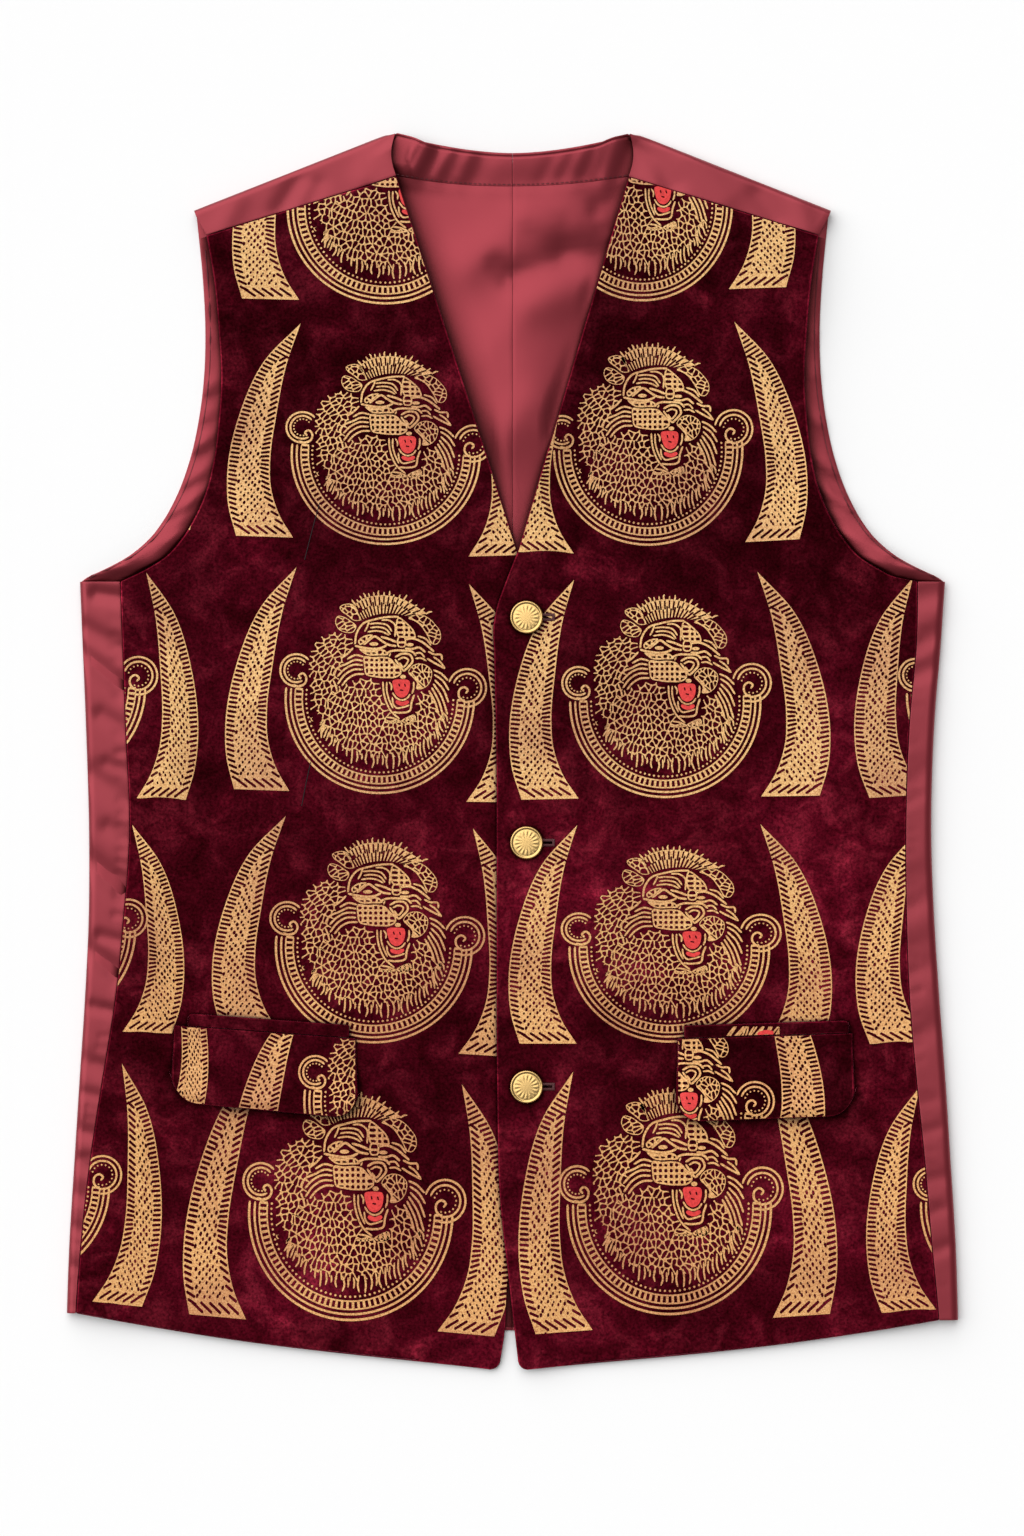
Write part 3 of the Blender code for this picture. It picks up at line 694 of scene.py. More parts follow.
def back_grid(first, last, inner_first, inner_last, outer, top_edge, columns, height):
    """A half of the back or lining: straight rows from the centre seam out, bent up to its top edge."""
    outer_ups = spread_rows(first, last)[:, None]
    row_share = (outer_ups - first) / (last - first)
    columns = columns[None, :]
    out = mix(SEAM_SHUT / 2, outer(outer_ups), columns)
    bend = top_edge(mix(SEAM_SHUT / 2, outer(np.array(last)), columns)) - mix(inner_last, last, columns)
    bend = bend * soft_step((row_share - TOP_BEND_START) / (1 - TOP_BEND_START))
    up = mix(mix(inner_first, inner_last, row_share), outer_ups, columns) + bend
    return grid_of(out, up, height(out, up))


def roll_grid(start, outward, bulge, top_reach, height, end, crease):
    """A half turn from the surface over a fold, then the strip that lies back to its seam."""
    outward = np.asarray(outward)
    fold = start + outward * bulge
    lines = []
    for step in range(ROLL_STEPS + 1):
        turn = math.pi * step / ROLL_STEPS
        reach = bulge if 2 * step <= ROLL_STEPS else top_reach
        place = fold - outward * reach * (1 - math.sin(turn))
        rise = height * (1 - math.cos(turn)) / 2
        on_top = soft_step((step / ROLL_STEPS - CREASE_START) / CREASE_RISE)
        lines.append((place, rise + on_top * crease(place[:, 0], place[:, 1])))
    strip_start = fold - outward * top_reach
    for step in range(1, STRIP_STEPS + 1):
        place = mix(strip_start, end, step / STRIP_STEPS)
        lines.append((place, height + crease(place[:, 0], place[:, 1])))
    return np.stack([grid_of(place[:, 0], place[:, 1], rise) for place, rise in lines], axis=1)


def side_strip_grid(side):
    """The back going round the side fold to the side seam, up to the underarm."""
    ups = np.linspace(SIDE_HEMS[side], UNDERARM, SIDE_ROWS)
    start = np.column_stack([side_line("fold", side, ups) - SIDE_ROLL / 2, ups])
    end = np.column_stack([side_line("seam", side, ups) + GAP / 2, ups])
    strip = side_line("fold", side, ups) - end[:, 0]
    top_reach = np.minimum(SIDE_ROUNDS[side], SIDE_ROUND_SHARE * strip)[:, None]
    crease = partial(folds_at, side_troughs(side))
    return roll_grid(start, (1, 0), SIDE_ROLL / 2, top_reach, SIDE_ROLL, end, crease)


def shoulder_strip_grid(side, columns):
    """The back going over the shoulder line to the shoulder seam, one run for each column."""
    outs = mix(SEAM_SHUT / 2, BACK_ARM_TOP[0], columns)
    outs = outs[outs > BACK_NECK_CORNER[0] - SAME_PLACE]
    start = np.column_stack([outs, back_neck(outs)])
    share = shoulder_share(outs)
    end = np.column_stack([
        mix(SEAM_AT_NECK[0], SEAM_AT_ARM[0], share),
        mix(SEAM_AT_NECK[1], SEAM_AT_ARM[1], share) + GAP / 2,
    ])
    folds = FOLDS[f"shoulder_{WORDS[side]}"]
    bulge = shoulder_bulge(share)[:, None]
    grid = roll_grid(
        start, SHOULDER_OUTWARD, bulge, bulge, SHOULDER_ROLL, end,
        lambda out, up: folds_at(folds, side * out, up),
    )
    along = (outs - outs[0])[:, None]
    steps = np.arange(ROLL_STEPS + STRIP_STEPS + 1)[None, :]
    down = np.maximum(steps - ROLL_STEPS, 0) / STRIP_STEPS
    turn = np.where(steps <= ROLL_STEPS, steps * math.pi / ROLL_STEPS, 0.0)
    grid[..., 1] -= NECK_ROUND * np.sin(turn) * (1 - soft_step(along / NECK_ROUND_REACH))
    grid[..., 0] += NECK_EDGE_BOW * np.sin(math.pi * down) * (1 - soft_step(along / NECK_EDGE_REACH))
    rim = V_TOPS[side] - SHOULDER_ROLL - VELVET_PROUD
    grid[..., 2] += rim * soft_step(down / NECK_RIM_START) * (1 - soft_step(along / V_LIFT_REACH))
    return grid.transpose(1, 0, 2)


def facing_grid(side):
    outs = np.linspace(SEAM_SHUT / 2, FACING_END, FACING_COLUMNS)
    out, share = np.meshgrid(outs, np.linspace(0, 1, FACING_ROWS))
    up = mix(facing_seam(out), facing_top_edge(out), share)
    return grid_of(out, up, facing_height(side, out, up))


def hem_sag(across, over_hem):
    """How far a front hangs below the straight line from its lower corner to the side."""
    fade = 1 - soft_step(over_hem / HEM_SAG_REACH)
    return HEM_SAG * np.sin(math.pi * np.clip(across, 0, 1) ** HEM_SAG_LEAN) * fade


def front_grid(side):
    outer_ups = spread_rows(SIDE_HEMS[side], SEAM_AT_ARM[1] - GAP / 2)
    run = SEAM_AT_NECK[1] - FRONT_HEM
    share = (outer_ups - outer_ups[0]) / (outer_ups[-1] - outer_ups[0])
    hem_rows = np.array(FRONT_CORNER_ROWS) * FRONT_CORNER_RADIUS / run
    share = np.concatenate([share[:1], hem_rows, share[share > hem_rows[-1] + LEAST_ROW_GAP]])[:, None]
    outer_up = mix(outer_ups[0], outer_ups[-1], share)
    inner_up = mix(FRONT_HEM, SEAM_AT_NECK[1] - GAP / 2, share)
    across = np.linspace(0, 1, FRONT_COLUMNS)[None, :]
    out = mix(front_edge(side, inner_up), front_outer(side, outer_up) - GAP / 2, across)
    up = mix(inner_up, outer_up, across) - hem_sag(across, share * run)
    return grid_of(out, up, front_top(side, out, up))


def flap_grid(flap):
    near_corner = np.array(FLAP_CORNER_COLUMNS)
    inner_part = flap.inner_out + FLAP_INNER_CORNER * near_corner
    outer_part = flap.outer_out - FLAP_OUTER_CORNER * near_corner[::-1]
    middle = np.linspace(inner_part[-1], outer_part[0], FLAP_COLUMNS)[1:-1]
    out, share = np.meshgrid(np.concatenate([inner_part, middle, outer_part]), np.linspace(0, 1, FLAP_ROWS))
    top, bottom = flap_edges(flap, out)
    up = mix(bottom, top, share)
    return grid_of(out, up, flap_top(flap, out, up))


def welt_grid(flap):
    last = flap.outer_out - WELT_OUTER_INSETS[flap.side]
    straight = np.linspace(flap.inner_out + WELT_INNER_INSET, last - WELT_CORNER, WELT_COLUMNS)
    corner = last - WELT_CORNER * np.array(WELT_CORNER_COLUMNS)
    out, share = np.meshgrid(np.concatenate([straight, corner]), np.linspace(0, 1, WELT_ROWS))
    up = flap_edges(flap, out)[0] + GAP + (WELT_HEIGHT - corner_trim(last - out, WELT_CORNER)) * share
    return grid_of(out, up, welt_top(flap, out, up))


def grid_area(grid):
    """The area of a grid of points, in square metres."""
    first = np.cross(grid[:-1, 1:] - grid[:-1, :-1], grid[1:, 1:] - grid[:-1, :-1])
    second = np.cross(grid[1:, 1:] - grid[:-1, :-1], grid[1:, :-1] - grid[:-1, :-1])
    area = np.linalg.norm(first, axis=-1).sum() + np.linalg.norm(second, axis=-1).sum()
    return float(area) / 2 * MM * MM


def put(name, data):
    """A new object in the scene."""
    thing = bpy.data.objects.new(name, data)
    bpy.context.scene.collection.objects.link(thing)
    return thing


def finished_mesh(thing):
    """The mesh of an object with its modifiers or its bevel carried out."""
    depsgraph = bpy.context.evaluated_depsgraph_get()
    return bpy.data.meshes.new_from_object(thing.evaluated_get(depsgraph))


def mesh_of(name, shape):
    """A mesh made from a shape that is then done with."""
    mesh = bpy.data.meshes.new(name)
    shape.to_mesh(mesh)
    shape.free()
    return mesh


def add_piece(name, mesh, material, node=None):
    """Puts a piece in the scene, on the garment's body, in place of the solid that it dresses."""
    piece = put(name, mesh)
    mesh.materials.append(material)
    mesh.shade_smooth()
    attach(piece, "root")
    if node:
        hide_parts(node)
    return piece


# A kind of cloth: its edges are rounded by a share of its wall, and its last material shows on them; for the
# velvet that is a lighter copy with a painted highlight.
Cloth = namedtuple("Cloth", "slot wall rounding materials")
EDGE_ANGLE = math.radians(55)
EDGE_STEPS = 3
# Corners of neighbouring grids that are closer than this are one.
GRID_MERGE = 0.01


def cloth_piece(name, node, grids, side, cloth, outer_face=1):
    """One sheet of cloth from grids of points that share their edges, with a wall and soft edges."""
    shape = bmesh.new()
    for grid in grids:
        corners = [
            [shape.verts.new((side * out * MM, up * MM, height * MM)) for out, up, height in row]
            for row in grid
        ]
        for low, high in zip(corners, corners[1:]):
            for i in range(len(low) - 1):
                face = [low[i], low[i + 1], high[i + 1], high[i]]
                shape.faces.new(face if side * outer_face > 0 else face[::-1])
    bmesh.ops.remove_doubles(shape, verts=shape.verts, dist=GRID_MERGE * MM)
    piece = add_piece(name, mesh_of(name, shape), cloth.materials[0], node)
    for material in cloth.materials[1:]:
        piece.data.materials.append(material)
    solidify = piece.modifiers.new("wall", "SOLIDIFY")
    solidify.thickness = cloth.wall * MM
    solidify.offset = -1
    solidify.use_even_offset = True
    bevel = piece.modifiers.new("edges", "BEVEL")
    bevel.limit_method = "ANGLE"
    bevel.angle_limit = EDGE_ANGLE
    bevel.width = cloth.rounding * cloth.wall * MM
    bevel.segments = EDGE_STEPS
    bevel.use_clamp_overlap = False
    bevel.material = len(cloth.materials) - 1
    return piece


# The print: gold films that lie on the velvet, drawn in millimetres and then laid on each panel.
Film = namedtuple("Film", "points lifts triangles")
PRINT_LIFT = 0.10
LAYER_RISE = 0.015
LAYERS = 6
PRINT_MARGIN = 0.5
# How closely lines are sampled.
SPACING = 1.1
FINE_SPACING = 0.8
LOOP_SPACING = 1.2
# How far the pointed ends of a narrow hole reach, as a share of its width.
HOLE_NIB = 0.4
FILL_PRECISION = 1e-5
DOT_SIDES = 8
WELT_PRINT_END = 155.0


def join_films(films):
    films = list(films)
    starts = np.cumsum([0, *(len(film.points) for film in films)])
    return Film(
        np.concatenate([film.points for film in films]),
        np.concatenate([film.lifts for film in films]),
        np.concatenate([film.triangles + start for film, start in zip(films, starts)]),
    )


def layer(number):
    return PRINT_LIFT + LAYER_RISE * (number % LAYERS)


RED_LIFT = layer(LAYERS - 1) + LAYER_RISE


def smooth_line(points, spacing=SPACING):
    """A smooth line through given points, sampled evenly."""
    points = np.asarray(points, float)
    steps = np.concatenate([[0], np.cumsum(np.linalg.norm(np.diff(points, axis=0), axis=1))])
    at = np.linspace(0, steps[-1], max(int(steps[-1] / spacing) + 1, 3))
    return np.column_stack([smooth_through(steps, points[:, i], at) for i in (0, 1)])


def ribbon(line, width, lift, tip=0.5):
    """A stroke of even width along a line, narrowed at both ends."""
    run = np.gradient(line, axis=0)
    run /= np.linalg.norm(run, axis=1)[:, None]
    half = np.full((len(line), 1), width / 2)
    half[[0, -1]] *= tip
    across = np.column_stack([-run[:, 1], run[:, 0]]) * half
    count = len(line)
    i = np.arange(count - 1)
    triangles = np.concatenate([
        np.column_stack([i + count, i + count + 1, i + 1]),
        np.column_stack([i + count, i + 1, i]),
    ])
    points = np.concatenate([line + across, line - across])
    return Film(points, np.full(len(points), lift), triangles)


def dot(centre, radius, lift, sides=DOT_SIDES, stretch=1.0):
    turns = np.arange(sides) * 2 * math.pi / sides
    ring = np.column_stack([np.cos(turns), np.sin(turns) * stretch]) * radius + np.asarray(centre)
    fan = np.array([[0, i, i + 1] for i in range(1, sides - 1)])
    return Film(ring, np.full(sides, lift), fan)


def filled(outline, holes, lift):
    """A film inside an outline and outside its holes: the faces that come from the outline alone."""
    x, y = np.asarray(outline).T
    anticlockwise = np.sum(x * np.roll(y, -1) - y * np.roll(x, -1)) > 0
    loops = [np.asarray(outline)[:: 1 if anticlockwise else -1], *(np.asarray(hole) for hole in holes)]
    ends = np.cumsum([len(loop) for loop in loops])
    faces = [list(range(end - len(loop), end)) for loop, end in zip(loops, ends)]
    places = [Vector(point) for point in np.concatenate(loops)]
    corners, _, found, _, _, sources = geometry.delaunay_2d_cdt(places, [], faces, 1, FILL_PRECISION, True)
    kept = [face for face, source in zip(found, sources) if source == [0]]
    points = np.array([(corner.x, corner.y) for corner in corners])
    return Film(points, np.full(len(points), lift), np.array(kept))


def clip(film, inside):
    """The part of a film where inside is above zero, with the triangles on that line cut along it."""
    points, lifts, triangles = film
    depth = inside(points[:, 0], points[:, 1])
    counts = (depth[triangles] > 0).sum(axis=1)
    parts = [Film(points, lifts, triangles[counts == 3])]
    for count, pick in ((1, np.argmax), (2, np.argmin)):
        crossing = triangles[counts == count]
        if not len(crossing):
            continue
        first = pick(depth[crossing] > 0, axis=1)[:, None]
        a, b, c = np.take_along_axis(crossing, (first + np.arange(3)) % 3, axis=1).T
        ab_share = (depth[a] / (depth[a] - depth[b]))[:, None]
        ac_share = (depth[a] / (depth[a] - depth[c]))[:, None]
        ab = mix(points[a], points[b], ab_share)
        ac = mix(points[a], points[c], ac_share)
        n = np.arange(len(crossing))[:, None]
        if count == 1:
            corners = [points[a], ab, ac]
            order = [[0, 1, 2]]
        else:
            corners = [ab, points[b], points[c], ac]
            order = [[0, 1, 2], [0, 2, 3]]
        new_triangles = np.concatenate([n + np.array(three) * len(crossing) for three in order])
        parts.append(Film(np.concatenate(corners), np.tile(lifts[a], len(corners)), new_triangles))
    return join_films(parts)


# A tusk bowed to the left, drawn from the middle of its base, with a pointed tip.
TUSK_TIP = (20.6, 123.5)
TUSK_OUTER = [(-16.5, 0.5), (-21.2, 18.6), (-21.8, 36.0), (-14.8, 70.8), (-0.6, 101.5), TUSK_TIP]
TUSK_INNER = [(16.5, -0.5), (8.4, 12.8), (3.4, 30.2), (3.2, 44.7), (6.7, 70.8), (12.5, 99.8), TUSK_TIP]
TUSK_RIM = 1.0
TUSK_SPACING = 2.5
DASH_START = 7.4
DASH_END = 6.0
DASH_PITCH = 2.55
DASH_LENGTH = 4.3
DASH_LENGTHS = (0.85, 1.1)
DASH_WIDTH = 1.45
DASH_ROOM = 0.6
# Near the tip one dash goes right across.
TIP_SLOPE = -0.55
TIP_DASH_ROOM = 2.2
TIP_DASH_INSET = 0.5
TIP_DASH_WIDTH = 0.9 * DASH_WIDTH
BASE_DASH = (6.4, -4.4)
BASE_DASH_TOP = 6.2
BASE_DASH_PITCH = 5.2
BASE_DASH_INSETS = (0.6, 1.0)
# The least turn between a dash and its edge, for their spacing.
LEAST_TURN = 0.45
TUSK_DOT_START = 8.6
TUSK_DOT_ROW = 2.05
TUSK_DOT_PITCH = 3.8
TUSK_DOT_STAGGER = 0.56
TUSK_DOT_INSETS = (1.0, 0.8)
TUSK_DOT_RUN = (0.4, 1.0)
TUSK_DOT_WIDTH = 1.3
TUSK_DOT_SIZES = (0.7, 1.25)
TUSK_DOT_SCATTER = 0.4
TUSK_SEED = 5
# The slope of the dashes along each edge, by their share of the tusk's height.
TuskSlope = namedtuple("TuskSlope", "share outer inner")
TUSK_SLOPES = table(TuskSlope, [
    (0.0, -0.60, -0.62),
    (0.15, -0.36, -0.60),
    (0.28, -0.22, -0.40),
    (0.40, -0.12, 0.15),
    (0.55, -0.22, 0.50),
    (0.80, -0.45, 0.55),
    (1.0, -0.50, 0.50),
])


def slot_hole(x, y, run_x, run_y, width):
    """A narrow six-cornered hole along a run."""
    length = math.hypot(run_x, run_y)
    along = np.array([run_x, run_y]) / length
    across = np.array([-along[1], along[0]]) * width / 2
    start = np.array([x, y])
    end = start + along * length
    nib = along * width * HOLE_NIB
    return [start - nib, start - across, end - across, end + nib, end + across, start + across]


def tusk_film():
    """The tusk, filled with gold, with slanted dashes along its edges and base and dots between."""
    outer = smooth_line(TUSK_OUTER, TUSK_SPACING)
    inner = smooth_line(TUSK_INNER, TUSK_SPACING)
    scatter = np.random.default_rng(TUSK_SEED)

    def room(y):
        left = float(np.interp(y, outer[:, 1], outer[:, 0])) + TUSK_RIM
        return left, float(np.interp(y, inner[:, 1], inner[:, 0])) - TUSK_RIM

    holes = []
    for edge, line in (("outer", outer), ("inner", inner)):
        y = DASH_START
        while y < TUSK_TIP[1] - DASH_END:
            left, right = room(y)
            share = y / TUSK_TIP[1]
            slope = float(np.interp(share, column(TUSK_SLOPES, "share"), column(TUSK_SLOPES, edge)))
            length = DASH_LENGTH * scatter.uniform(*DASH_LENGTHS)
            if right - left > 2 * length + DASH_ROOM:
                start, run = (left, length) if edge == "outer" else (right, -length)
                holes.append(slot_hole(start, y, run, slope * run, DASH_WIDTH))
            elif edge == "outer" and right - left > TIP_DASH_ROOM:
                reach = right - left - 2 * TIP_DASH_INSET
                holes.append(slot_hole(left + TIP_DASH_INSET, y, reach, TIP_SLOPE * reach, TIP_DASH_WIDTH))
            lean = float(np.interp(y, line[:, 1], np.gradient(line[:, 0], line[:, 1])))
            y += DASH_PITCH * math.hypot(1, slope) / max(1 - lean * slope, LEAST_TURN)
    for row, y in enumerate(np.arange(TUSK_DOT_START, TUSK_TIP[1], TUSK_DOT_ROW)):
        left, right = room(y)
        stagger = (row * TUSK_DOT_STAGGER % 1.0) * TUSK_DOT_PITCH
        first = left + DASH_LENGTH + TUSK_DOT_INSETS[0] + stagger
        for x in np.arange(first, right - DASH_LENGTH - TUSK_DOT_INSETS[1], TUSK_DOT_PITCH):
            size = scatter.uniform(*TUSK_DOT_SIZES)
            place = np.array([x, y]) + scatter.uniform(-TUSK_DOT_SCATTER, TUSK_DOT_SCATTER, 2)
            holes.append(slot_hole(*place, *(np.array(TUSK_DOT_RUN) * size), TUSK_DOT_WIDTH * size))
    left, right = room(BASE_DASH_TOP + BASE_DASH[1])
    last = right - BASE_DASH[0] - BASE_DASH_INSETS[1]
    for x in np.arange(left + BASE_DASH_INSETS[0], last, BASE_DASH_PITCH):
        holes.append(slot_hole(x, BASE_DASH_TOP, *BASE_DASH, DASH_WIDTH))
    outline = np.concatenate([inner, outer[-2::-1]])
    return filled(outline, holes, PRINT_LIFT)


# The crescent under each lion's head: lines, a ladder and dots round an arc, with a curl at each end.
CRESCENT_RADIUS = 55.3
CRESCENT_FROM = math.radians(173)
CRESCENT_TO = math.radians(359)
CRESCENT_LINES = [(0.8, 1.25), (3.7, 1.15), (6.2, 0.8), (10.4, 0.8)]
LADDER = (6.2, 10.4)
LADDER_PITCH = 2.9
LADDER_RUNG = 1.35
DOT_INSET = 12.7
DOT_PITCH = 2.6
DOT_RADIUS = 0.62
Curl = namedtuple("Curl", "x y size start end hook")
CURLS = [
    Curl(x=-48.3, y=16.6, size=9.3, start=40, end=300, hook=[
        (-50.5, 8.2), (-46.5, 7.2), (-43.2, 9.2), (-42.6, 12.6), (-44.6, 14.8), (-46.8, 13.4), (-45.6, 11.4),
    ]),
    Curl(x=50.6, y=6.4, size=10.9, start=162, end=-112, hook=[
        (50.5, -2.2), (47.4, -0.6), (45.6, 2.4), (46.4, 5.6), (49, 6.8), (51, 5), (49.6, 3.2),
    ]),
]
CURL_RING_SHARES = (1.0, 0.75)
CURL_LINE = 1.15
CURL_DOT_SHARE = 0.54
CURL_DOT_COUNT = 13
CURL_DOT_RADIUS = 0.5
HOOK_LINE = 1.2
LEAST_ARC_POINTS = 4


def on_circle(centre, radius, turns):
    return np.column_stack([np.cos(turns), np.sin(turns)]) * radius + np.asarray(centre)


def arc(centre, radius, start, end, spacing=SPACING):
    count = max(int(abs(end - start) * radius / spacing), LEAST_ARC_POINTS)
    return on_circle(centre, radius, np.linspace(start, end, count))


def crescent_film():
    """Lines, rungs and dots round the crescent, and the rings, dots and hook of each curl."""
    films = []
    for inset, width in CRESCENT_LINES:
        line = arc((0, 0), CRESCENT_RADIUS - inset, CRESCENT_FROM, CRESCENT_TO)
        films.append(ribbon(line, width, layer(0)))
    middle = CRESCENT_RADIUS - sum(LADDER) / 2
    rungs = int((CRESCENT_TO - CRESCENT_FROM) * middle / LADDER_PITCH)
    turns = np.linspace(CRESCENT_FROM, CRESCENT_TO, rungs)
    for ends in zip(*(on_circle((0, 0), CRESCENT_RADIUS - inset, turns) for inset in LADDER)):
        films.append(ribbon(smooth_line(ends), LADDER_RUNG, layer(1), tip=1.0))
    for place in arc((0, 0), CRESCENT_RADIUS - DOT_INSET, CRESCENT_FROM, CRESCENT_TO, DOT_PITCH):
        films.append(dot(place, DOT_RADIUS, layer(0)))
    for curl in CURLS:
        centre = (curl.x, curl.y)
        start, end = math.radians(curl.start), math.radians(curl.end)
        for share in CURL_RING_SHARES:
            films.append(ribbon(arc(centre, curl.size * share, start, end), CURL_LINE, layer(2)))
        turns = np.linspace(start, end, CURL_DOT_COUNT)
        for place in on_circle(centre, curl.size * CURL_DOT_SHARE, turns):
            films.append(dot(place, CURL_DOT_RADIUS, layer(0)))
        films.append(ribbon(smooth_line(curl.hook, FINE_SPACING), HOOK_LINE, layer(3)))
    return join_films(films)


# The lion's head, from the middle of its crescent. Hair and nets are gold lines round dark cells: those
# of the hair stand in rings round the top of the head, those of the nets in rows.
LINE = 0.95
NET_LINE = 1.15
HAIR_LINE = 0.63
CELL_REACH = 3.4
CELL_SIDES = 10
LEAST_CELL = 0.5
# How far two joined cells overlap, and how far a cell stays in from a closed edge, in lines.
JOINED_OVERLAP = 0.1
RIM_SHARE = 0.7
ROW_START = 0.55
HAIR_ROOT = (-2.0, 48.0)
HAIR_RING = 4.4
HAIR_PITCH = 2.5
HAIR_SCATTER_ALONG = 1.5
HAIR_SCATTER_ACROSS = 0.5
HAIR_JOINED = 0.34
HAIR_SEED = 11
JOINED_SEED = 23
HAIR = [
    # Beard, then the mane on the left.
    [
        (-19, 9), (-25, 6.5), (-30, 1.5), (-34, -5), (-35, -12), (-31.5, -19), (-26, -25), (-18, -30),
        (-9, -33), (0, -34.5), (9, -33.5), (17, -31), (24, -27), (30, -22), (35, -15.5), (37.5, -9), (33, -3),
        (29, 4), (24.5, 4.5), (21, 0), (20.5, -8), (16, -10.5), (11, -12.5), (7, -9), (3.6, -4), (1.2, 2),
        (0, 8), (-2, 11), (-7, 12), (-13, 11.6),
    ],
    [
        (-16, 35), (-21, 37.6), (-28, 38.6), (-35, 35), (-39.5, 28), (-41, 20), (-40.6, 9), (-40, 0),
        (-39, -13), (-33, -8), (-27, -1), (-25, 6), (-23.5, 12), (-21.5, 19), (-18, 25), (-16, 30),
    ],
]
# Right ear, the two leaves of the left one, then the right cheek: a closed edge and smaller cells.
CURLY_SHARE = 0.88
CURLY_HAIR = [
    [
        (16.5, 46.5), (20, 48.6), (24, 48.8), (28.5, 46.8), (32, 43.4), (35, 39), (35.2, 34.5), (33, 31.6),
        (29.8, 32), (28, 35.6), (26, 39), (22.6, 43.4), (19, 45.6),
    ],
    [
        (-23.3, 52.9), (-18.5, 55.2), (-14.6, 54.2), (-12.6, 50), (-11, 45.6), (-14.4, 45.2), (-19, 48.4),
        (-22.4, 51),
    ],
    [
        (-25.6, 46.4), (-24.4, 48), (-21, 47.6), (-16.6, 45), (-13.6, 42.4), (-15.4, 38.6), (-20, 38.4),
        (-24, 40.4),
    ],
    [
        (16.4, 15.4), (18, 18.5), (22, 20.5), (27, 19.5), (30, 16.5), (30, 12), (28, 8), (24, 5.6), (21, 5.8),
        (21.6, 9), (19.4, 12),
    ],
]
RowNet = namedtuple("RowNet", "pitch_x pitch_y stagger outline")
ROW_NETS = [
    # Muzzle.
    RowNet(2.9, 3.0, 0, [
        (-9, 24.6), (-4, 24.2), (2, 24.4), (6, 23.6), (9, 20.6), (12.4, 17), (12.4, 14.6), (10, 12.6),
        (4, 12), (-3, 12.6), (-8, 14), (-9.2, 19),
    ]),
    # Right forehead and the band below it, then the band under the left eye.
    RowNet(2.9, 2.9, 0, [(11, 47.4), (15.8, 44), (20.2, 38.6), (20.8, 35.6), (15, 35.4), (11, 35.8)]),
    RowNet(3.4, 2.6, 0, [(10.8, 36), (14.4, 36), (14.4, 30), (10.8, 30)]),
    RowNet(3.4, 2.8, 0, [(-12, 29), (-5, 28.2), (3, 28.2), (5, 26), (-1, 25.2), (-8, 25.6)]),
    # Brow over the left eye.
    RowNet(3.2, 2.4, 0.5, [(-12.6, 33), (-9, 36.6), (-4, 37), (-6.4, 34.4), (-9.6, 32), (-11.6, 31.2)]),
    # Chin.
    RowNet(2.9, 2.4, 0, [(12.4, -12.8), (16, -10.4), (20.4, -9.4), (21, -12.2), (16, -14.4)]),
]

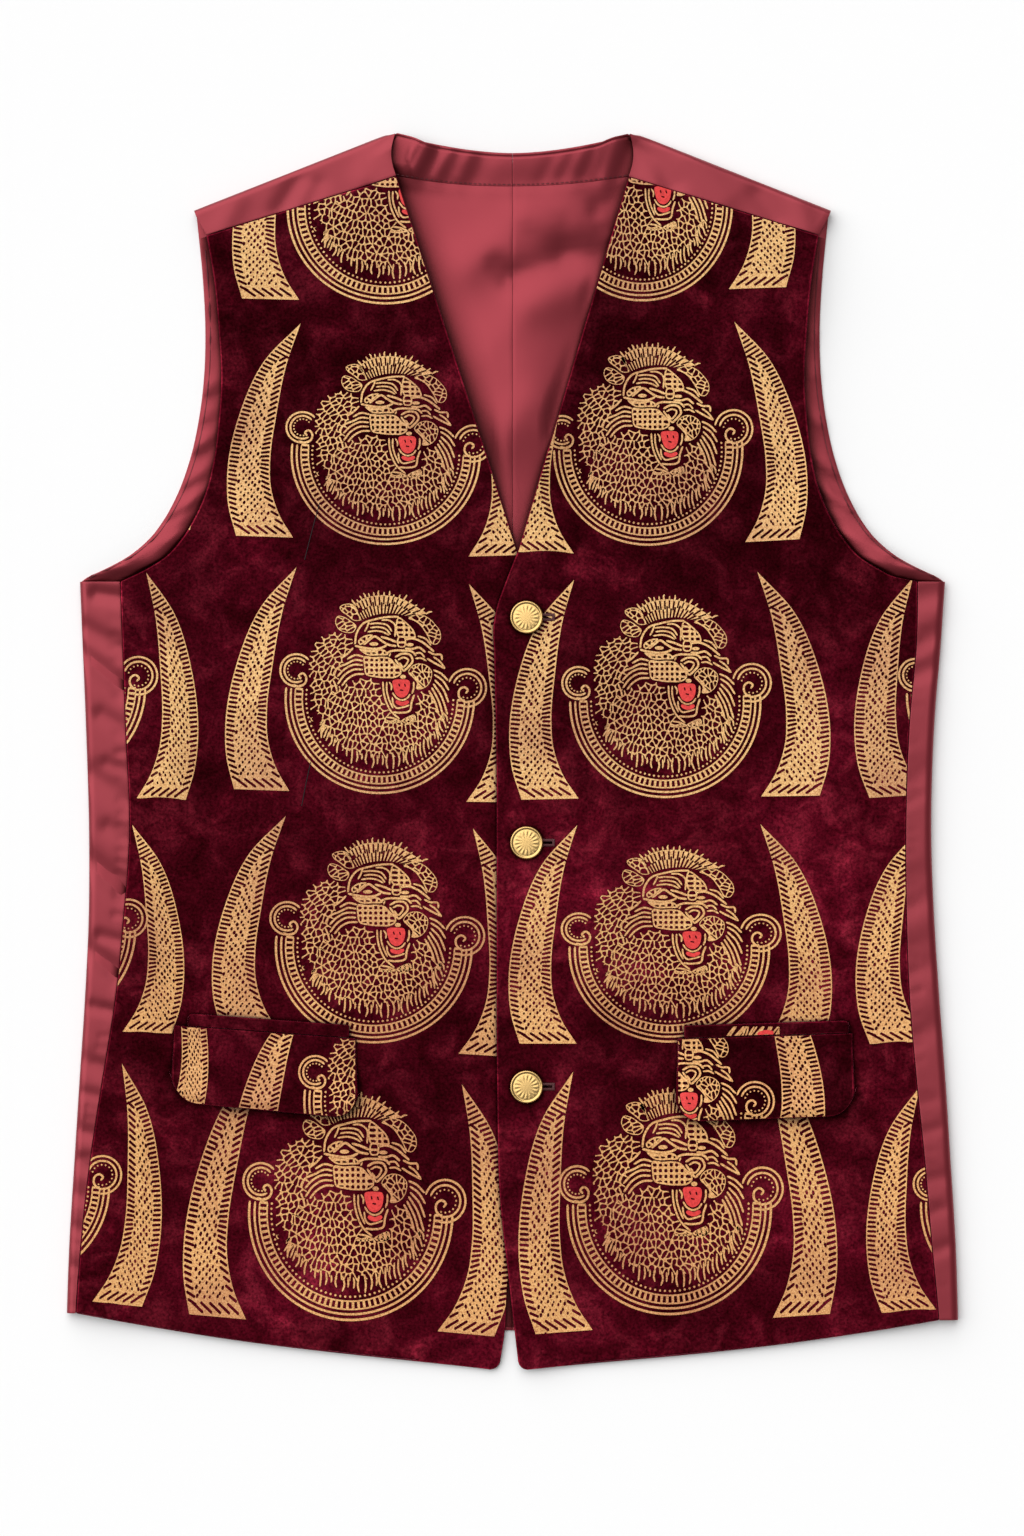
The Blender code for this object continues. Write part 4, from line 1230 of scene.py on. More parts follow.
# Strokes of the face: a width, then the places that the stroke goes through.
STROKES = [
    # Top of the head and lines of the forehead.
    (1.1, [(-14.4, 31.6), (-13.4, 38), (-9.4, 43.8), (-3, 46), (4, 47.4), (11, 47.6)]),
    (0.95, [(-8.8, 39), (-7.2, 42), (-6.2, 44.8)]),
    (0.95, [(-6, 43.4), (-1, 43.8), (4.4, 42.6), (7, 39)]),
    (0.95, [(-5.6, 41.2), (-1, 41.6), (3.6, 40.4), (6.2, 37.2)]),
    (0.95, [(-7, 38.8), (-2, 39.4), (2.6, 38.4), (5.4, 36.8)]),
    (0.95, [(1, 45.6), (5, 45.6), (8.4, 43.4), (8.8, 36)]),
    # Left eye and brow.
    (1.25, [(-9.4, 31.4), (-6, 34.2), (-3, 36.2), (0.6, 34), (5, 31.4), (9.6, 30.6)]),
    (1.25, [(0.6, 36), (5, 34.8), (9.8, 32.8)]),
    (1.25, [(-14.4, 30.8), (-9, 29.6), (-3, 29), (1, 29.6), (4, 31)]),
    # Right eye and the hair beside it.
    (1.2, [(14.8, 34.4), (19, 35), (24, 33.2), (28.4, 30), (31.4, 27.4)]),
    (1.0, [(22, 36.4), (26.6, 34.8), (29.6, 31)]),
    (1.2, [(14.6, 29.2), (19, 29), (22.6, 29.8), (26.4, 27)]),
    (1.0, [(20.4, 26.4), (23.6, 26.6), (26, 24)]),
    (1.0, [(20.6, 23.4), (24, 23.6), (27, 22)]),
    (1.1, [(28, 27.4), (31.6, 25.8), (35.6, 25.4), (36, 22.4)]),
    (1.1, [(27.4, 23.4), (31, 21.2), (37.8, 17.6)]),
    (1.0, [(31, 24.4), (34.4, 22), (37.8, 17.6)]),
    # Nose.
    (1.2, [(3.4, 26.2), (7, 27.8), (13, 28), (19, 27.2), (21, 25)]),
    (1.0, [(6.2, 26.4), (5.4, 24.6)]),
    (1.2, [(8.8, 24.2), (13, 26.2), (17.6, 25.4), (19, 22), (16.6, 18.6), (13.8, 16)]),
    (1.1, [(8.8, 23), (11, 19.8), (13.8, 16)]),
    (1.0, [(10.6, 22.6), (13.6, 24), (16.4, 22.8), (15.2, 19.8), (13.6, 18.4), (11.4, 21)]),
    # Mouth.
    (1.0, [(1.8, 10), (2.2, 4), (3.8, -2), (6.4, -7), (11.4, -11.6)]),
    (0.95, [(4, 9.8), (4, 5), (5.2, 0), (7.6, -5.4)]),
    (0.95, [(5.4, 9.8), (6.8, 7.6), (6.6, 5)]),
    (0.95, [(7.4, 3.6), (9.6, 0.6), (12.6, -0.7), (15.8, 0.4), (17.6, 2.8)]),
    (0.95, [(7.2, 1), (8, -3.4), (9.6, -5.2), (13.6, -4.8), (17.2, -3.6)]),
    (1.1, [(7.8, -7.6), (12, -8), (17.4, -6.8), (18.4, -2), (20, 2.4)]),
    (1.0, [(19.6, 10), (19.6, 6), (18.6, 3)]),
    # Chin.
    (0.95, [(4, -10.6), (8, -11.2), (12.4, -13.2)]),
    (0.95, [(2.6, -13.4), (7, -13.8), (12.4, -13.2)]),
    # Whiskers and cheek hair on the left.
    (1.1, [(-15.4, 29.6), (-18.4, 26.4), (-22.6, 23.4)]),
    (1.1, [(-9.4, 24.4), (-14, 25.4), (-19, 23)]),
    (1.1, [(-9.8, 22), (-14, 22.6), (-19, 20.4), (-24.6, 17.8), (-27, 14)]),
    (1.1, [(-9.8, 19.6), (-15, 19.8), (-20.4, 17.2), (-24.6, 13)]),
    (1.1, [(-9.8, 17), (-15, 17), (-20, 14.2), (-24.4, 8.6)]),
    (1.1, [(-9, 14.4), (-14, 14.2), (-18.4, 11.8), (-22, 7.6)]),
    (1.0, [(-27, 11), (-25.4, 7), (-24.6, 3.6)]),
    # Hair on the right.
    (1.1, [(31, 16.8), (35, 15), (39.6, 10.6)]),
    (1.1, [(31.6, 14), (36, 11), (40, 5)]),
    (1.1, [(31.8, 11), (36.4, 6), (39.8, -2)]),
    (1.1, [(31, 8.8), (35.4, 2), (39.2, -9)]),
    (1.1, [(30, 6.6), (34, -1), (37.2, -12)]),
    (1.1, [(28.4, 4.8), (32, -2), (34, -8.6)]),
]
STROKE_SPACING = 0.9
# Eyes and the mark below the nose, each by its middle and its half width and half height.
EYES = [(-3.4, 31.8, 2.6, 1.1), (17.4, 31.4, 2.3, 1.0), (13.4, 12.8, 1.7, 1.2)]
EYE_SIDES = 10
# The tuft is a band from its roots to its ends. Slits from the roots take turns with slits to the ends,
# and where they start and stop is a share of the strand's length.
TUFT_ROOTS = [(-10.5, 45.5), (-5, 48), (2, 49.4), (9, 49.4), (16, 47.6)]
TUFT_ENDS = [(-16, 53.5), (-8.5, 58.5), (2.5, 60), (14, 57.4), (27.5, 49.4)]
TUFT_STRANDS = 16
TUFT_SLIT = 1.15
TUFT_SLIT_WIDTHS = (0.75, 1.1)
ROOT_SLIT_START = -0.15
ROOT_SLIT_STOPS = (0.45, 0.7)
END_SLIT_STARTS = (0.4, 0.6)
END_SLIT_STOP = 1.15
TUFT_EDGE_POINTS = 40
TUFT_SEED = 8
# Ends of hair that stand free, from one line to another: those of the tuft, then those of the beard.
Comb = namedtuple("Comb", "count inner outer")
COMBS = [
    Comb(count=17, inner=TUFT_ENDS, outer=[(-18.4, 56), (-9.6, 61.4), (2.6, 63), (15.6, 60), (30.6, 50.6)]),
    Comb(
        count=36,
        inner=[(-33, -13), (-30, -20), (-17, -30), (0, -34), (17, -30.5), (30, -21.5), (37, -9)],
        outer=[(-36.4, -18), (-32, -25.5), (-17.5, -36.5), (0, -41), (17.5, -37.5), (31, -28), (39.5, -14)],
    ),
]
COMB_LENGTHS = (0.4, 1.15)
COMB_BEND = 0.2
COMB_START = -0.3
COMB_SPACING = 1.2
COMB_SEED = 3
TONGUE = [(7.5, 10.5), (12.5, 11.3), (17, 10.5), (17.3, 6), (15.5, 2), (12.8, 0.7), (10, 1.8), (8, 6)]
TONGUE_MARK = 0.8
TONGUE_MARKS = [(11, 8.8, 0.4, -1.4), (14.4, 8.6, 0.4, -1.4), (11.8, 5.2, 1.6, -0.3)]
LOWER_LIP = (2.3, [(9.2, -1.4), (13, -2.9), (16.8, -1.4)])


def closed_line(points, spacing=LOOP_SPACING):
    """A smooth closed loop through given points."""
    loop = smooth_line([*points[-2:], *points, *points[:2]], spacing)
    half = len(loop) // 2
    first = np.argmin(np.linalg.norm(loop[:half] - points[0], axis=1))
    last = half + np.argmin(np.linalg.norm(loop[half:] - points[0], axis=1))
    return loop[first:last]


def inside_loop(loop, place):
    """Whether a place is inside a closed loop."""
    x, y = (loop - place).T
    next_x, next_y = np.roll(x, -1), np.roll(y, -1)
    crosses = (y > 0) != (next_y > 0)
    at = x[crosses] - y[crosses] * (next_x - x)[crosses] / (next_y - y)[crosses]
    return (at > 0).sum() % 2 == 1


def trim_cell(cell, normal, limit):
    """The part of a cell where the distance along a normal is below a limit."""
    kept = []
    over = cell @ normal - limit
    for i, place in enumerate(cell):
        if over[i - 1] * over[i] < 0:
            kept.append(mix(cell[i - 1], place, over[i - 1] / (over[i - 1] - over[i])))
        if over[i] <= 0:
            kept.append(place)
    return np.array(kept).reshape(-1, 2)


def round_corners(cell):
    """A cell with each corner cut off, a quarter of the way along both of its sides."""
    ahead = np.roll(cell, -1, axis=0)
    return np.stack([mix(cell, ahead, 0.25), mix(cell, ahead, 0.75)], axis=1).reshape(-1, 2)


def net_cells(loop, seeds, line, joined=(), closed=True):
    """One cell for each seed, a line's width from its neighbours, or none if the two are joined."""
    ends = np.roll(loop, -1, axis=0)
    middles = (loop + ends) / 2
    circle = dot((0, 0), CELL_REACH, 0, CELL_SIDES).points
    cells = []
    for i, seed in enumerate(seeds):
        cell = circle + seed
        lengths = np.linalg.norm(seeds - seed, axis=1)
        for k in np.flatnonzero((lengths > 0) & (lengths < 2 * CELL_REACH + line)):
            normal = (seeds[k] - seed) / lengths[k]
            gap = -JOINED_OVERLAP if (i, k) in joined or (k, i) in joined else line
            cell = trim_cell(cell, normal, normal @ seed + (lengths[k] - gap) / 2)
        near_edge = np.linalg.norm(middles - seed, axis=1) < CELL_REACH + line
        for k in np.flatnonzero(near_edge & closed):
            run = (ends[k] - loop[k]) / np.linalg.norm(ends[k] - loop[k])
            normal = np.array([run[1], -run[0]])
            normal *= np.sign(normal @ (middles[k] - seed))
            cell = trim_cell(cell, normal, normal @ middles[k] - line * RIM_SHARE)
        if len(cell) > 2 and np.ptp(cell, axis=0).min() > LEAST_CELL:
            cells.append(round_corners(cell))
    return cells


def row_seeds(net):
    """Places in rows over an outline, each row moved by a share of the pitch."""
    low, high = np.min(net.outline, axis=0), np.max(net.outline, axis=0)
    seeds = []
    for row, y in enumerate(np.arange(low[1] + net.pitch_y * ROW_START, high[1], net.pitch_y)):
        first = low[0] + net.pitch_x * (ROW_START + net.stagger * (row % 2))
        seeds += [(x, y) for x in np.arange(first, high[0], net.pitch_x)]
    return seeds


def hair_seeds(outline, size):
    """Places in staggered rings round the hair's root, each moved a little."""
    reach = np.linalg.norm(np.array(outline) - HAIR_ROOT, axis=1)
    scatter = np.random.default_rng(HAIR_SEED)
    seeds = []
    for ring, at in enumerate(np.arange(reach.min(), reach.max(), HAIR_RING * size)):
        count = int(2 * math.pi * at / (HAIR_PITCH * size))
        turns = (np.arange(count) + 0.5 * (ring % 2)) * 2 * math.pi / count
        turns += scatter.uniform(-HAIR_SCATTER_ACROSS, HAIR_SCATTER_ACROSS, count) / at
        reaches = at + scatter.uniform(-HAIR_SCATTER_ALONG, HAIR_SCATTER_ALONG, count)
        seeds += list(on_circle(HAIR_ROOT, reaches[:, None], turns))
    return seeds


def seeds_in(loop, seeds):
    return np.array([seed for seed in seeds if inside_loop(loop, seed)])


def joined_pairs(seeds):
    """Some cells of hair, each with the one that lies next to it away from the root."""
    scatter = np.random.default_rng(JOINED_SEED)
    joined = set()
    for i, seed in enumerate(seeds):
        outward = (seed - HAIR_ROOT) / np.linalg.norm(seed - HAIR_ROOT)
        nearest = np.linalg.norm(seeds - seed - outward * HAIR_RING, axis=1).argmin()
        if nearest != i and scatter.random() < HAIR_JOINED:
            joined.add((i, nearest))
    return joined


def net_film(net, lift):
    """Gold lines inside an outline, round dark cells that stand in rows."""
    loop = closed_line(net.outline)
    return filled(loop, net_cells(loop, seeds_in(loop, row_seeds(net)), NET_LINE), lift)


def hair_film(outline, lift):
    """Gold strands inside an outline, round uneven cells; some are joined, and the outer ones are open."""
    loop = closed_line(outline)
    seeds = seeds_in(loop, hair_seeds(outline, 1.0))
    return filled(loop, net_cells(loop, seeds, HAIR_LINE, joined_pairs(seeds), closed=False), lift)


def curly_film(outline, lift):
    loop = closed_line(outline)
    return filled(loop, net_cells(loop, seeds_in(loop, hair_seeds(outline, CURLY_SHARE)), HAIR_LINE), lift)


def along_points(points, shares):
    """Places at the given shares of a smooth line through given points."""
    points = np.array(points, float)
    knots = np.linspace(0, 1, len(points))
    return np.column_stack([smooth_through(knots, points[:, i], shares) for i in (0, 1)])


def tuft_film(lift):
    """The tuft: slits from its roots, and shorter ones between them that end past its rim."""
    scatter = np.random.default_rng(TUFT_SEED)
    shares = (np.arange(2 * TUFT_STRANDS - 1) + 1) / (2 * TUFT_STRANDS)
    roots = along_points(TUFT_ROOTS, shares)
    ends = along_points(TUFT_ENDS, shares)
    slits = []
    for i, (root, end) in enumerate(zip(roots, ends)):
        first, last = ROOT_SLIT_START, END_SLIT_STOP
        if i % 2 == 0:
            last = scatter.uniform(*ROOT_SLIT_STOPS)
        else:
            first = scatter.uniform(*END_SLIT_STARTS)
        start = mix(root, end, first)
        run = mix(root, end, last) - start
        slits.append(slot_hole(*start, *run, TUFT_SLIT * scatter.uniform(*TUFT_SLIT_WIDTHS)))
    edge = np.linspace(0, 1, TUFT_EDGE_POINTS)
    outline = np.concatenate([along_points(TUFT_ROOTS, edge), along_points(TUFT_ENDS, edge)[::-1]])
    return filled(outline, slits, lift)


def comb(place):
    """Strands of hair from one line to another, of uneven length and bend."""
    scatter = np.random.default_rng(COMB_SEED)
    shares = np.linspace(0, 1, place.count)
    roots = along_points(place.inner, shares)
    tips = along_points(place.outer, shares)
    strands = []
    for i, (root, tip) in enumerate(zip(roots, tips)):
        tip = mix(root, tip, scatter.uniform(*COMB_LENGTHS))
        bend = np.array([root[1] - tip[1], tip[0] - root[0]]) * scatter.uniform(-COMB_BEND, COMB_BEND)
        points = [mix(root, tip, COMB_START), (root + tip) / 2 + bend, tip]
        strands.append(ribbon(smooth_line(points, COMB_SPACING), LINE, layer(i)))
    return strands


def lion_films():
    """Gold lines of the head, and the red of its tongue."""
    gold = [hair_film(outline, layer(0)) for outline in HAIR]
    gold += [curly_film(outline, layer(i + 1)) for i, outline in enumerate(CURLY_HAIR)]
    gold += [net_film(net, layer(i + 1)) for i, net in enumerate(ROW_NETS)]
    gold.append(tuft_film(layer(2)))
    gold += [strand for place in COMBS for strand in comb(place)]
    for i, (width, points) in enumerate(STROKES):
        gold.append(ribbon(smooth_line(points, STROKE_SPACING), width, layer(i)))
    for x, y, wide, high in EYES:
        gold.append(dot((x, y), wide, layer(LAYERS - 1), EYE_SIDES, stretch=high / wide))
    marks = [slot_hole(*mark, TONGUE_MARK) for mark in TONGUE_MARKS]
    tongue = filled(closed_line(TONGUE, FINE_SPACING), marks, RED_LIFT)
    width, points = LOWER_LIP
    lip = ribbon(smooth_line(points), width, RED_LIFT)
    return join_films(gold), join_films([tongue, lip])


# Where the print falls, in photograph pixels: lions by the middle of their crescent, tusks by their
# tip and the middle of their base. Each lion is stretched a little with its cloth, and its crescent
# turned by some degrees. A tusk bows to the left (-1) or to the right (1).
Lion = namedtuple("Lion", "x y wide tall turn", defaults=[1.0, 1.0, 0.0])
LIONS = {
    "front_right": table(Lion, [
        (386, 210, 1.04),
        (386, 455, 1.0, 0.95),
        (380, 699),
        (374, 947, 1.04, 1.01),
        (351, 1213, 1.08, 1.13),
        (52, 687),
        (42, 929),
        (16, 1185),
    ]),
    "front_left": table(Lion, [
        (642, 207, 0.95, 1.0, 6),
        (648, 451, 1.0, 1.0, 7),
        (665, 703, 1.01, 1.0, 6),
        (669, 950, 1.06, 0.97, 4.5),
        (669, 1208, 1.08, 1.12, 4.5),
        (1000, 695, 1.0, 1.0, 6),
        (1014, 1205, 1.0, 1.0, 4.5),
    ]),
    "flap_right": table(Lion, [
        (399, 1100),
    ]),
    "flap_left": table(Lion, [
        (667, 1111),
    ]),
}
Tusk = namedtuple("Tusk", "bow tip_x tip_y base_x base_y width", defaults=[1.0])
TUSKS = {
    "front_right": table(Tusk, [
        (-1, 305, 87, 271, 300),
        (-1, 301, 324, 265, 537),
        (1, 462, 340, 497, 556),
        (1, 128, 318, 162, 531),
        (1, 147, 572, 162, 799, 0.86),
        (-1, 297, 567, 262, 790, 0.97),
        (1, 469, 584, 495, 802),
        (1, 133, 824, 148, 1032, 0.86),
        (-1, 286, 816, 250, 1029),
        (1, 473, 828, 487, 1055),
        (1, 123, 1062, 118, 1303, 0.87),
        (-1, 268, 1050, 218, 1316),
        (1, 462, 1083, 466, 1333),
    ]),
    "front_left": table(Tusk, [
        (1, 721, 76, 757, 289),
        (1, 734, 322, 772, 541, 0.95),
        (-1, 579, 340, 545, 553),
        (-1, 574, 580, 550, 799),
        (1, 757, 572, 790, 796, 1.03),
        (-1, 912, 578, 897, 796),
        (-1, 577, 825, 548, 1043),
        (1, 760, 824, 793, 1043),
        (-1, 920, 828, 899, 1042, 1.05),
        (-1, 573, 1070, 564, 1331),
        (1, 757, 1045, 801, 1315, 1.0),
        (-1, 919, 1085, 908, 1310, 0.95),
    ]),
    "flap_right": table(Tusk, [
        (1, 164, 902, 186, 1115, 0.61),
        (-1, 307, 997, 270, 1210),
    ]),
    "flap_left": table(Tusk, [
        (1, 751, 949, 786, 1162),
    ]),
}


def place_tusk(film, tusk):
    """A tusk stretched and turned to its tip and base; one that bows to the right is mirrored."""
    hand = -tusk.bow
    tip = complex(*from_photo(tusk.tip_x, tusk.tip_y))
    base = complex(*from_photo(tusk.base_x, tusk.base_y))
    stretch = abs(tip - base) / math.hypot(*TUSK_TIP)
    drawn_tip = complex(hand * tusk.width * TUSK_TIP[0], TUSK_TIP[1] * stretch)
    turn = (tip - base) / drawn_tip
    turn /= abs(turn)
    drawn = hand * tusk.width * film.points[:, 0] + 1j * film.points[:, 1] * stretch
    laid = base + drawn * turn
    triangles = film.triangles if hand > 0 else film.triangles[:, ::-1]
    return Film(np.column_stack([laid.real, laid.imag]), film.lifts, triangles)


def place_lion(film, lion, turn=0.0):
    """A film of the lion turned, stretched and moved to its place."""
    turned = (film.points[:, 0] + 1j * film.points[:, 1]) * np.exp(1j * math.radians(turn))
    points = np.column_stack([turned.real * lion.wide, turned.imag * lion.tall])
    return Film(points + from_photo(lion.x, lion.y), film.lifts, film.triangles)


def inside_edges(*depths):
    """How far a place is inside all of some edges and the print's margin; negative outside them."""
    return np.minimum.reduce(depths) - PRINT_MARGIN


def inside_front(side, x, y):
    out = side * x
    low_edge = getattr(FRONT_EDGES[0], WORDS[side])
    across = (out - low_edge) / (float(side_line("seam", side, SIDE_HEMS[side])) - low_edge)
    hem = mix(FRONT_HEM, SIDE_HEMS[side], across) - hem_sag(across, 0.0)
    top = shoulder_seam_up(out)
    return inside_edges(out - front_edge(side, y), front_outer(side, y) - out, y - hem, top - y)


def inside_flap(flap, x, y):
    out = flap.side * x
    top, bottom = flap_edges(flap, out)
    return inside_edges(out - flap.inner_out, flap.outer_out - out, top - y, y - bottom)


def inside_welt(flap, x, y):
    out = flap.side * x
    low = flap_edges(flap, out)[0] + GAP
    first = flap.inner_out + WELT_INNER_INSET
    return inside_edges(out - first, WELT_PRINT_END - out, low + WELT_HEIGHT - y, y - low)


def print_piece(name, film, inside, height, material):
    """Lays a film on a panel: cut to its outline and lifted onto its outer face."""
    film = clip(film, inside)
    used, triangles = np.unique(film.triangles, return_inverse=True)
    if not len(used):
        return None
    points = film.points[used]
    rise = height(points[:, 0], points[:, 1]) + film.lifts[used]
    mesh = bpy.data.meshes.new(name)
    corners = np.column_stack([points, rise]) * MM
    mesh.from_pydata(corners.tolist(), [], triangles.reshape(-1, 3).tolist())
    return add_piece(name, mesh, material)


def lay_films(panel, golden, reds, inside, height, looks):
    """The gold and red films of one panel, laid on it."""
    gold, red = looks
    pieces = [print_piece(f"gold_{panel}", join_films(golden), inside, height, gold)]
    pieces.append(print_piece(f"red_{panel}", join_films(reds), inside, height, red))
    return [piece for piece in pieces if piece]


def make_print(panel, inside, height, drawn, looks):
    """The lions and tusks of one panel."""
    tusk, crescent, lion_gold, lion_red = drawn
    lions = LIONS[panel]
    golden = [place_tusk(tusk, place) for place in TUSKS[panel]]
    golden += [place_lion(crescent, lion, lion.turn) for lion in lions]
    golden += [place_lion(lion_gold, lion) for lion in lions]
    reds = [place_lion(lion_red, lion) for lion in lions]
    return lay_films(panel, golden, reds, inside, height, looks)


# The print on the left welt: slanted strands of hair and a little red, in photograph pixels.
WELT_STRANDS = (724.0, 776.0)
WELT_STRAND_COUNT = 19
WELT_STRAND_LEAN = 9.0
WELT_STRAND_LEANS = (0.7, 1.5)
WELT_STRAND_BEND = 1.0
WELT_SEED = 6
WELT_LOW = 1040.0
WELT_HIGH = 1026.0
WELT_RED = [(757, 1034), (765, 1031.5), (773, 1032.5)]
WELT_RED_WIDTH = 2.4


def welt_films():
    """Strands that lean the same way, each with its own bend, and the red that lies over them."""
    scatter = np.random.default_rng(WELT_SEED)
    strands = []
    for i, x in enumerate(np.linspace(*WELT_STRANDS, WELT_STRAND_COUNT)):
        low = from_photo(x, WELT_LOW)
        high = from_photo(x + WELT_STRAND_LEAN * scatter.uniform(*WELT_STRAND_LEANS), WELT_HIGH)
        bend = scatter.uniform(-WELT_STRAND_BEND, WELT_STRAND_BEND)
        middle = mix(np.array(low), np.array(high), 0.5) + (bend, 0)
        strands.append(ribbon(smooth_line([low, middle, high], FINE_SPACING), LINE, layer(i)))
    red = [from_photo(*place) for place in WELT_RED]
    return strands, [ribbon(smooth_line(red, FINE_SPACING), WELT_RED_WIDTH, RED_LIFT)]


# Stitches and buttonholes.
THREAD_STEPS = 2
STITCH_LENGTH = 1.5
STITCH_GAP = 1.3
STITCH_WIDTH = 0.42
STITCH_RISE = 0.1
STITCH_POINTS = 4
STITCH_END_INSET = 3.0
STITCH_ABOVE_SEAM = 0.9
ARM_STITCHES = (100.0, 290.0)
ARM_STITCH_INSET = 2.0
ARM_STITCH_WIDTH = 0.4
ARM_STITCH_POINTS = 160
# Short seams of the right front, in photograph pixels.
FRONT_SEAMS = [
    [(320, 503), (314, 525), (305, 560)],
    [(311, 762), (306, 785), (302, 806)],
]
FRONT_SEAM_WIDTH = 0.5
HOLE_EYE_STEPS = 14
HOLE_CUT_HEIGHT = 12.0
# The thread round a buttonhole, and its height at its inner end, its middle and its outer end.
HOLE_THREAD = 0.28
HOLE_THREAD_GAP = 0.55
HOLE_THREAD_INSET = 0.1
HOLE_THREAD_RISES = (0.05, 0.3, 0.0)
HOLE_BAND = 1.3
HOLE_BAND_STEPS = 10


def tube(name, lines, radius, material):
    """Round threads along lines of points."""
    curve = bpy.data.curves.new(name, "CURVE")
    curve.dimensions = "3D"
    curve.bevel_depth = radius * MM
    curve.bevel_resolution = THREAD_STEPS
    curve.use_fill_caps = True
    for line in lines:
        spline = curve.splines.new("POLY")
        spline.points.add(len(line) - 1)
        for point, place in zip(spline.points, line):
            point.co = (*(np.asarray(place) * MM), 1)
    maker = put(name, curve)
    mesh = finished_mesh(maker)
    bpy.data.objects.remove(maker)
    bpy.data.curves.remove(curve)
    mesh.name = name
    return add_piece(name, mesh, material)


def neck_stitches(material):
    """The line of stitches along the lower edge of the neck facing."""
    lines = []
    end = FACING_END - STITCH_END_INSET
    for x in np.arange(-end, end, STITCH_LENGTH + STITCH_GAP):
        line = []
        for step in np.linspace(0, STITCH_LENGTH, STITCH_POINTS):
            at = np.array(x + step)
            up = facing_seam(abs(at)) + STITCH_ABOVE_SEAM
            height = facing_height(LEFT if at > 0 else RIGHT, abs(at), up) + STITCH_RISE
            line.append((float(at), float(up), float(height)))
        lines.append(line)
    return tube("neck_stitches", lines, STITCH_WIDTH / 2, material)


def armhole_stitches(material):
    """The line of stitches inside the edge of each armhole."""
    lines = []
    for side in SIDES.values():
        ups = np.linspace(*ARM_STITCHES, ARM_STITCH_POINTS)
        outs = lining_outer(side, ups) - ARM_STITCH_INSET
        heights = lining_height(side, outs, ups)
        lines.append(np.column_stack([side * outs, ups, heights]))
    return tube("armhole_stitches", lines, ARM_STITCH_WIDTH / 2, material)


def front_seams(material):
    """Two short seams that show on the right front."""
    lines = []
    for places in FRONT_SEAMS:
        x, y = smooth_line([from_photo(*place) for place in places]).T
        lines.append(np.column_stack([x, y, front_top(RIGHT, -x, y)]))
    return tube("front_seams", lines, FRONT_SEAM_WIDTH / 2, material)


def buttonhole_outline(grow, steps):
    """A keyhole: a round eye under the button and a slit running out from it."""
    half = HOLE_SLIT_WIDTH / 2 + grow
    eye = HOLE_EYE_RADIUS + grow
    opening = math.asin(half / eye)
    outline = [(HOLE_LENGTH + grow, -half), (HOLE_LENGTH + grow, half)]
    for turn in np.linspace(opening, 2 * math.pi - opening, steps):
        outline.append((eye * math.cos(turn), eye * math.sin(turn)))
    return outline


def buttonhole_cutter():
    """The three buttonholes as one hidden solid that cuts the top front."""
    shape = bmesh.new()
    low = (FRONT_TOP - VELVET_WALL) * MM
    for up in BUTTON_UPS:
        corners = [
            shape.verts.new(((CENTRE_FRONT + x) * MM, (up + y) * MM, low))
            for x, y in buttonhole_outline(0.0, HOLE_EYE_STEPS)
        ]
        grown = bmesh.ops.extrude_face_region(shape, geom=[shape.faces.new(corners)])["geom"]
        raised = [part for part in grown if isinstance(part, bmesh.types.BMVert)]
        bmesh.ops.translate(shape, verts=raised, vec=(0, 0, HOLE_CUT_HEIGHT * MM))
    bmesh.ops.recalc_face_normals(shape, faces=shape.faces)
    return put("buttonholes", mesh_of("buttonholes", shape))


def cut_buttonholes(front):
    """Cuts the buttonholes through the top front's finished mesh, then removes the cutter."""
    cutter = buttonhole_cutter()
    cut = front.modifiers.new("buttonholes", "BOOLEAN")
    cut.operation = "DIFFERENCE"
    cut.solver = "EXACT"
    cut.object = cutter
    front.modifiers.move(len(front.modifiers) - 1, 1)
    mesh = finished_mesh(front)
    front.modifiers.clear()
    front.data = mesh
    bpy.data.objects.remove(cutter)


def buttonhole_stitches(number, up, material):
    """Thread laid round a buttonhole, back and forth across its edge."""
    inner = np.array(buttonhole_outline(HOLE_THREAD_INSET, HOLE_BAND_STEPS))
    outer = np.array(buttonhole_outline(HOLE_BAND, HOLE_BAND_STEPS))
    next_inner, next_outer = np.roll(inner, -1, axis=0), np.roll(outer, -1, axis=0)
    lines = []
    for i, length in enumerate(np.linalg.norm(next_outer - outer, axis=1)):
        for share in np.arange(0, 1, HOLE_THREAD_GAP / max(length, HOLE_THREAD_GAP)):
            first = mix(inner[i], next_inner[i], share)
            last = mix(outer[i], next_outer[i], share)
            line = []
            for place, rise in zip((first, (first + last) / 2, last), HOLE_THREAD_RISES):
                x, y = CENTRE_FRONT + place[0], up + place[1]
                line.append((x, y, float(front_top(LEFT, np.array(x), np.array(y))) + rise))
            lines.append(line)
    return tube(f"buttonhole_{number}_stitches", lines, HOLE_THREAD, material)


# The face of a button, from its middle out: shares of its radius, and how far down each place is.
BUTTON_FACE = [
    (0, -0.3), (0.2, -0.31), (0.4, -0.34), (0.47, -0.36), (0.52, -0.36), (0.57, -0.38), (0.62, -0.4),
    (0.67, -0.43), (0.72, -0.46), (0.76, -0.5), (0.8, -0.58), (0.825, -0.58), (0.85, -0.4),
    (0.88, -0.14), (0.905, -0.02), (0.93, 0.0), (0.955, -0.06), (0.98, -0.28), (0.995, -0.6),
    (1.0, -0.9), (0.99, -1.3), (0.96, -1.8), (0.9, -2.2), (0.8, -2.5), (0.6, -2.7),
]
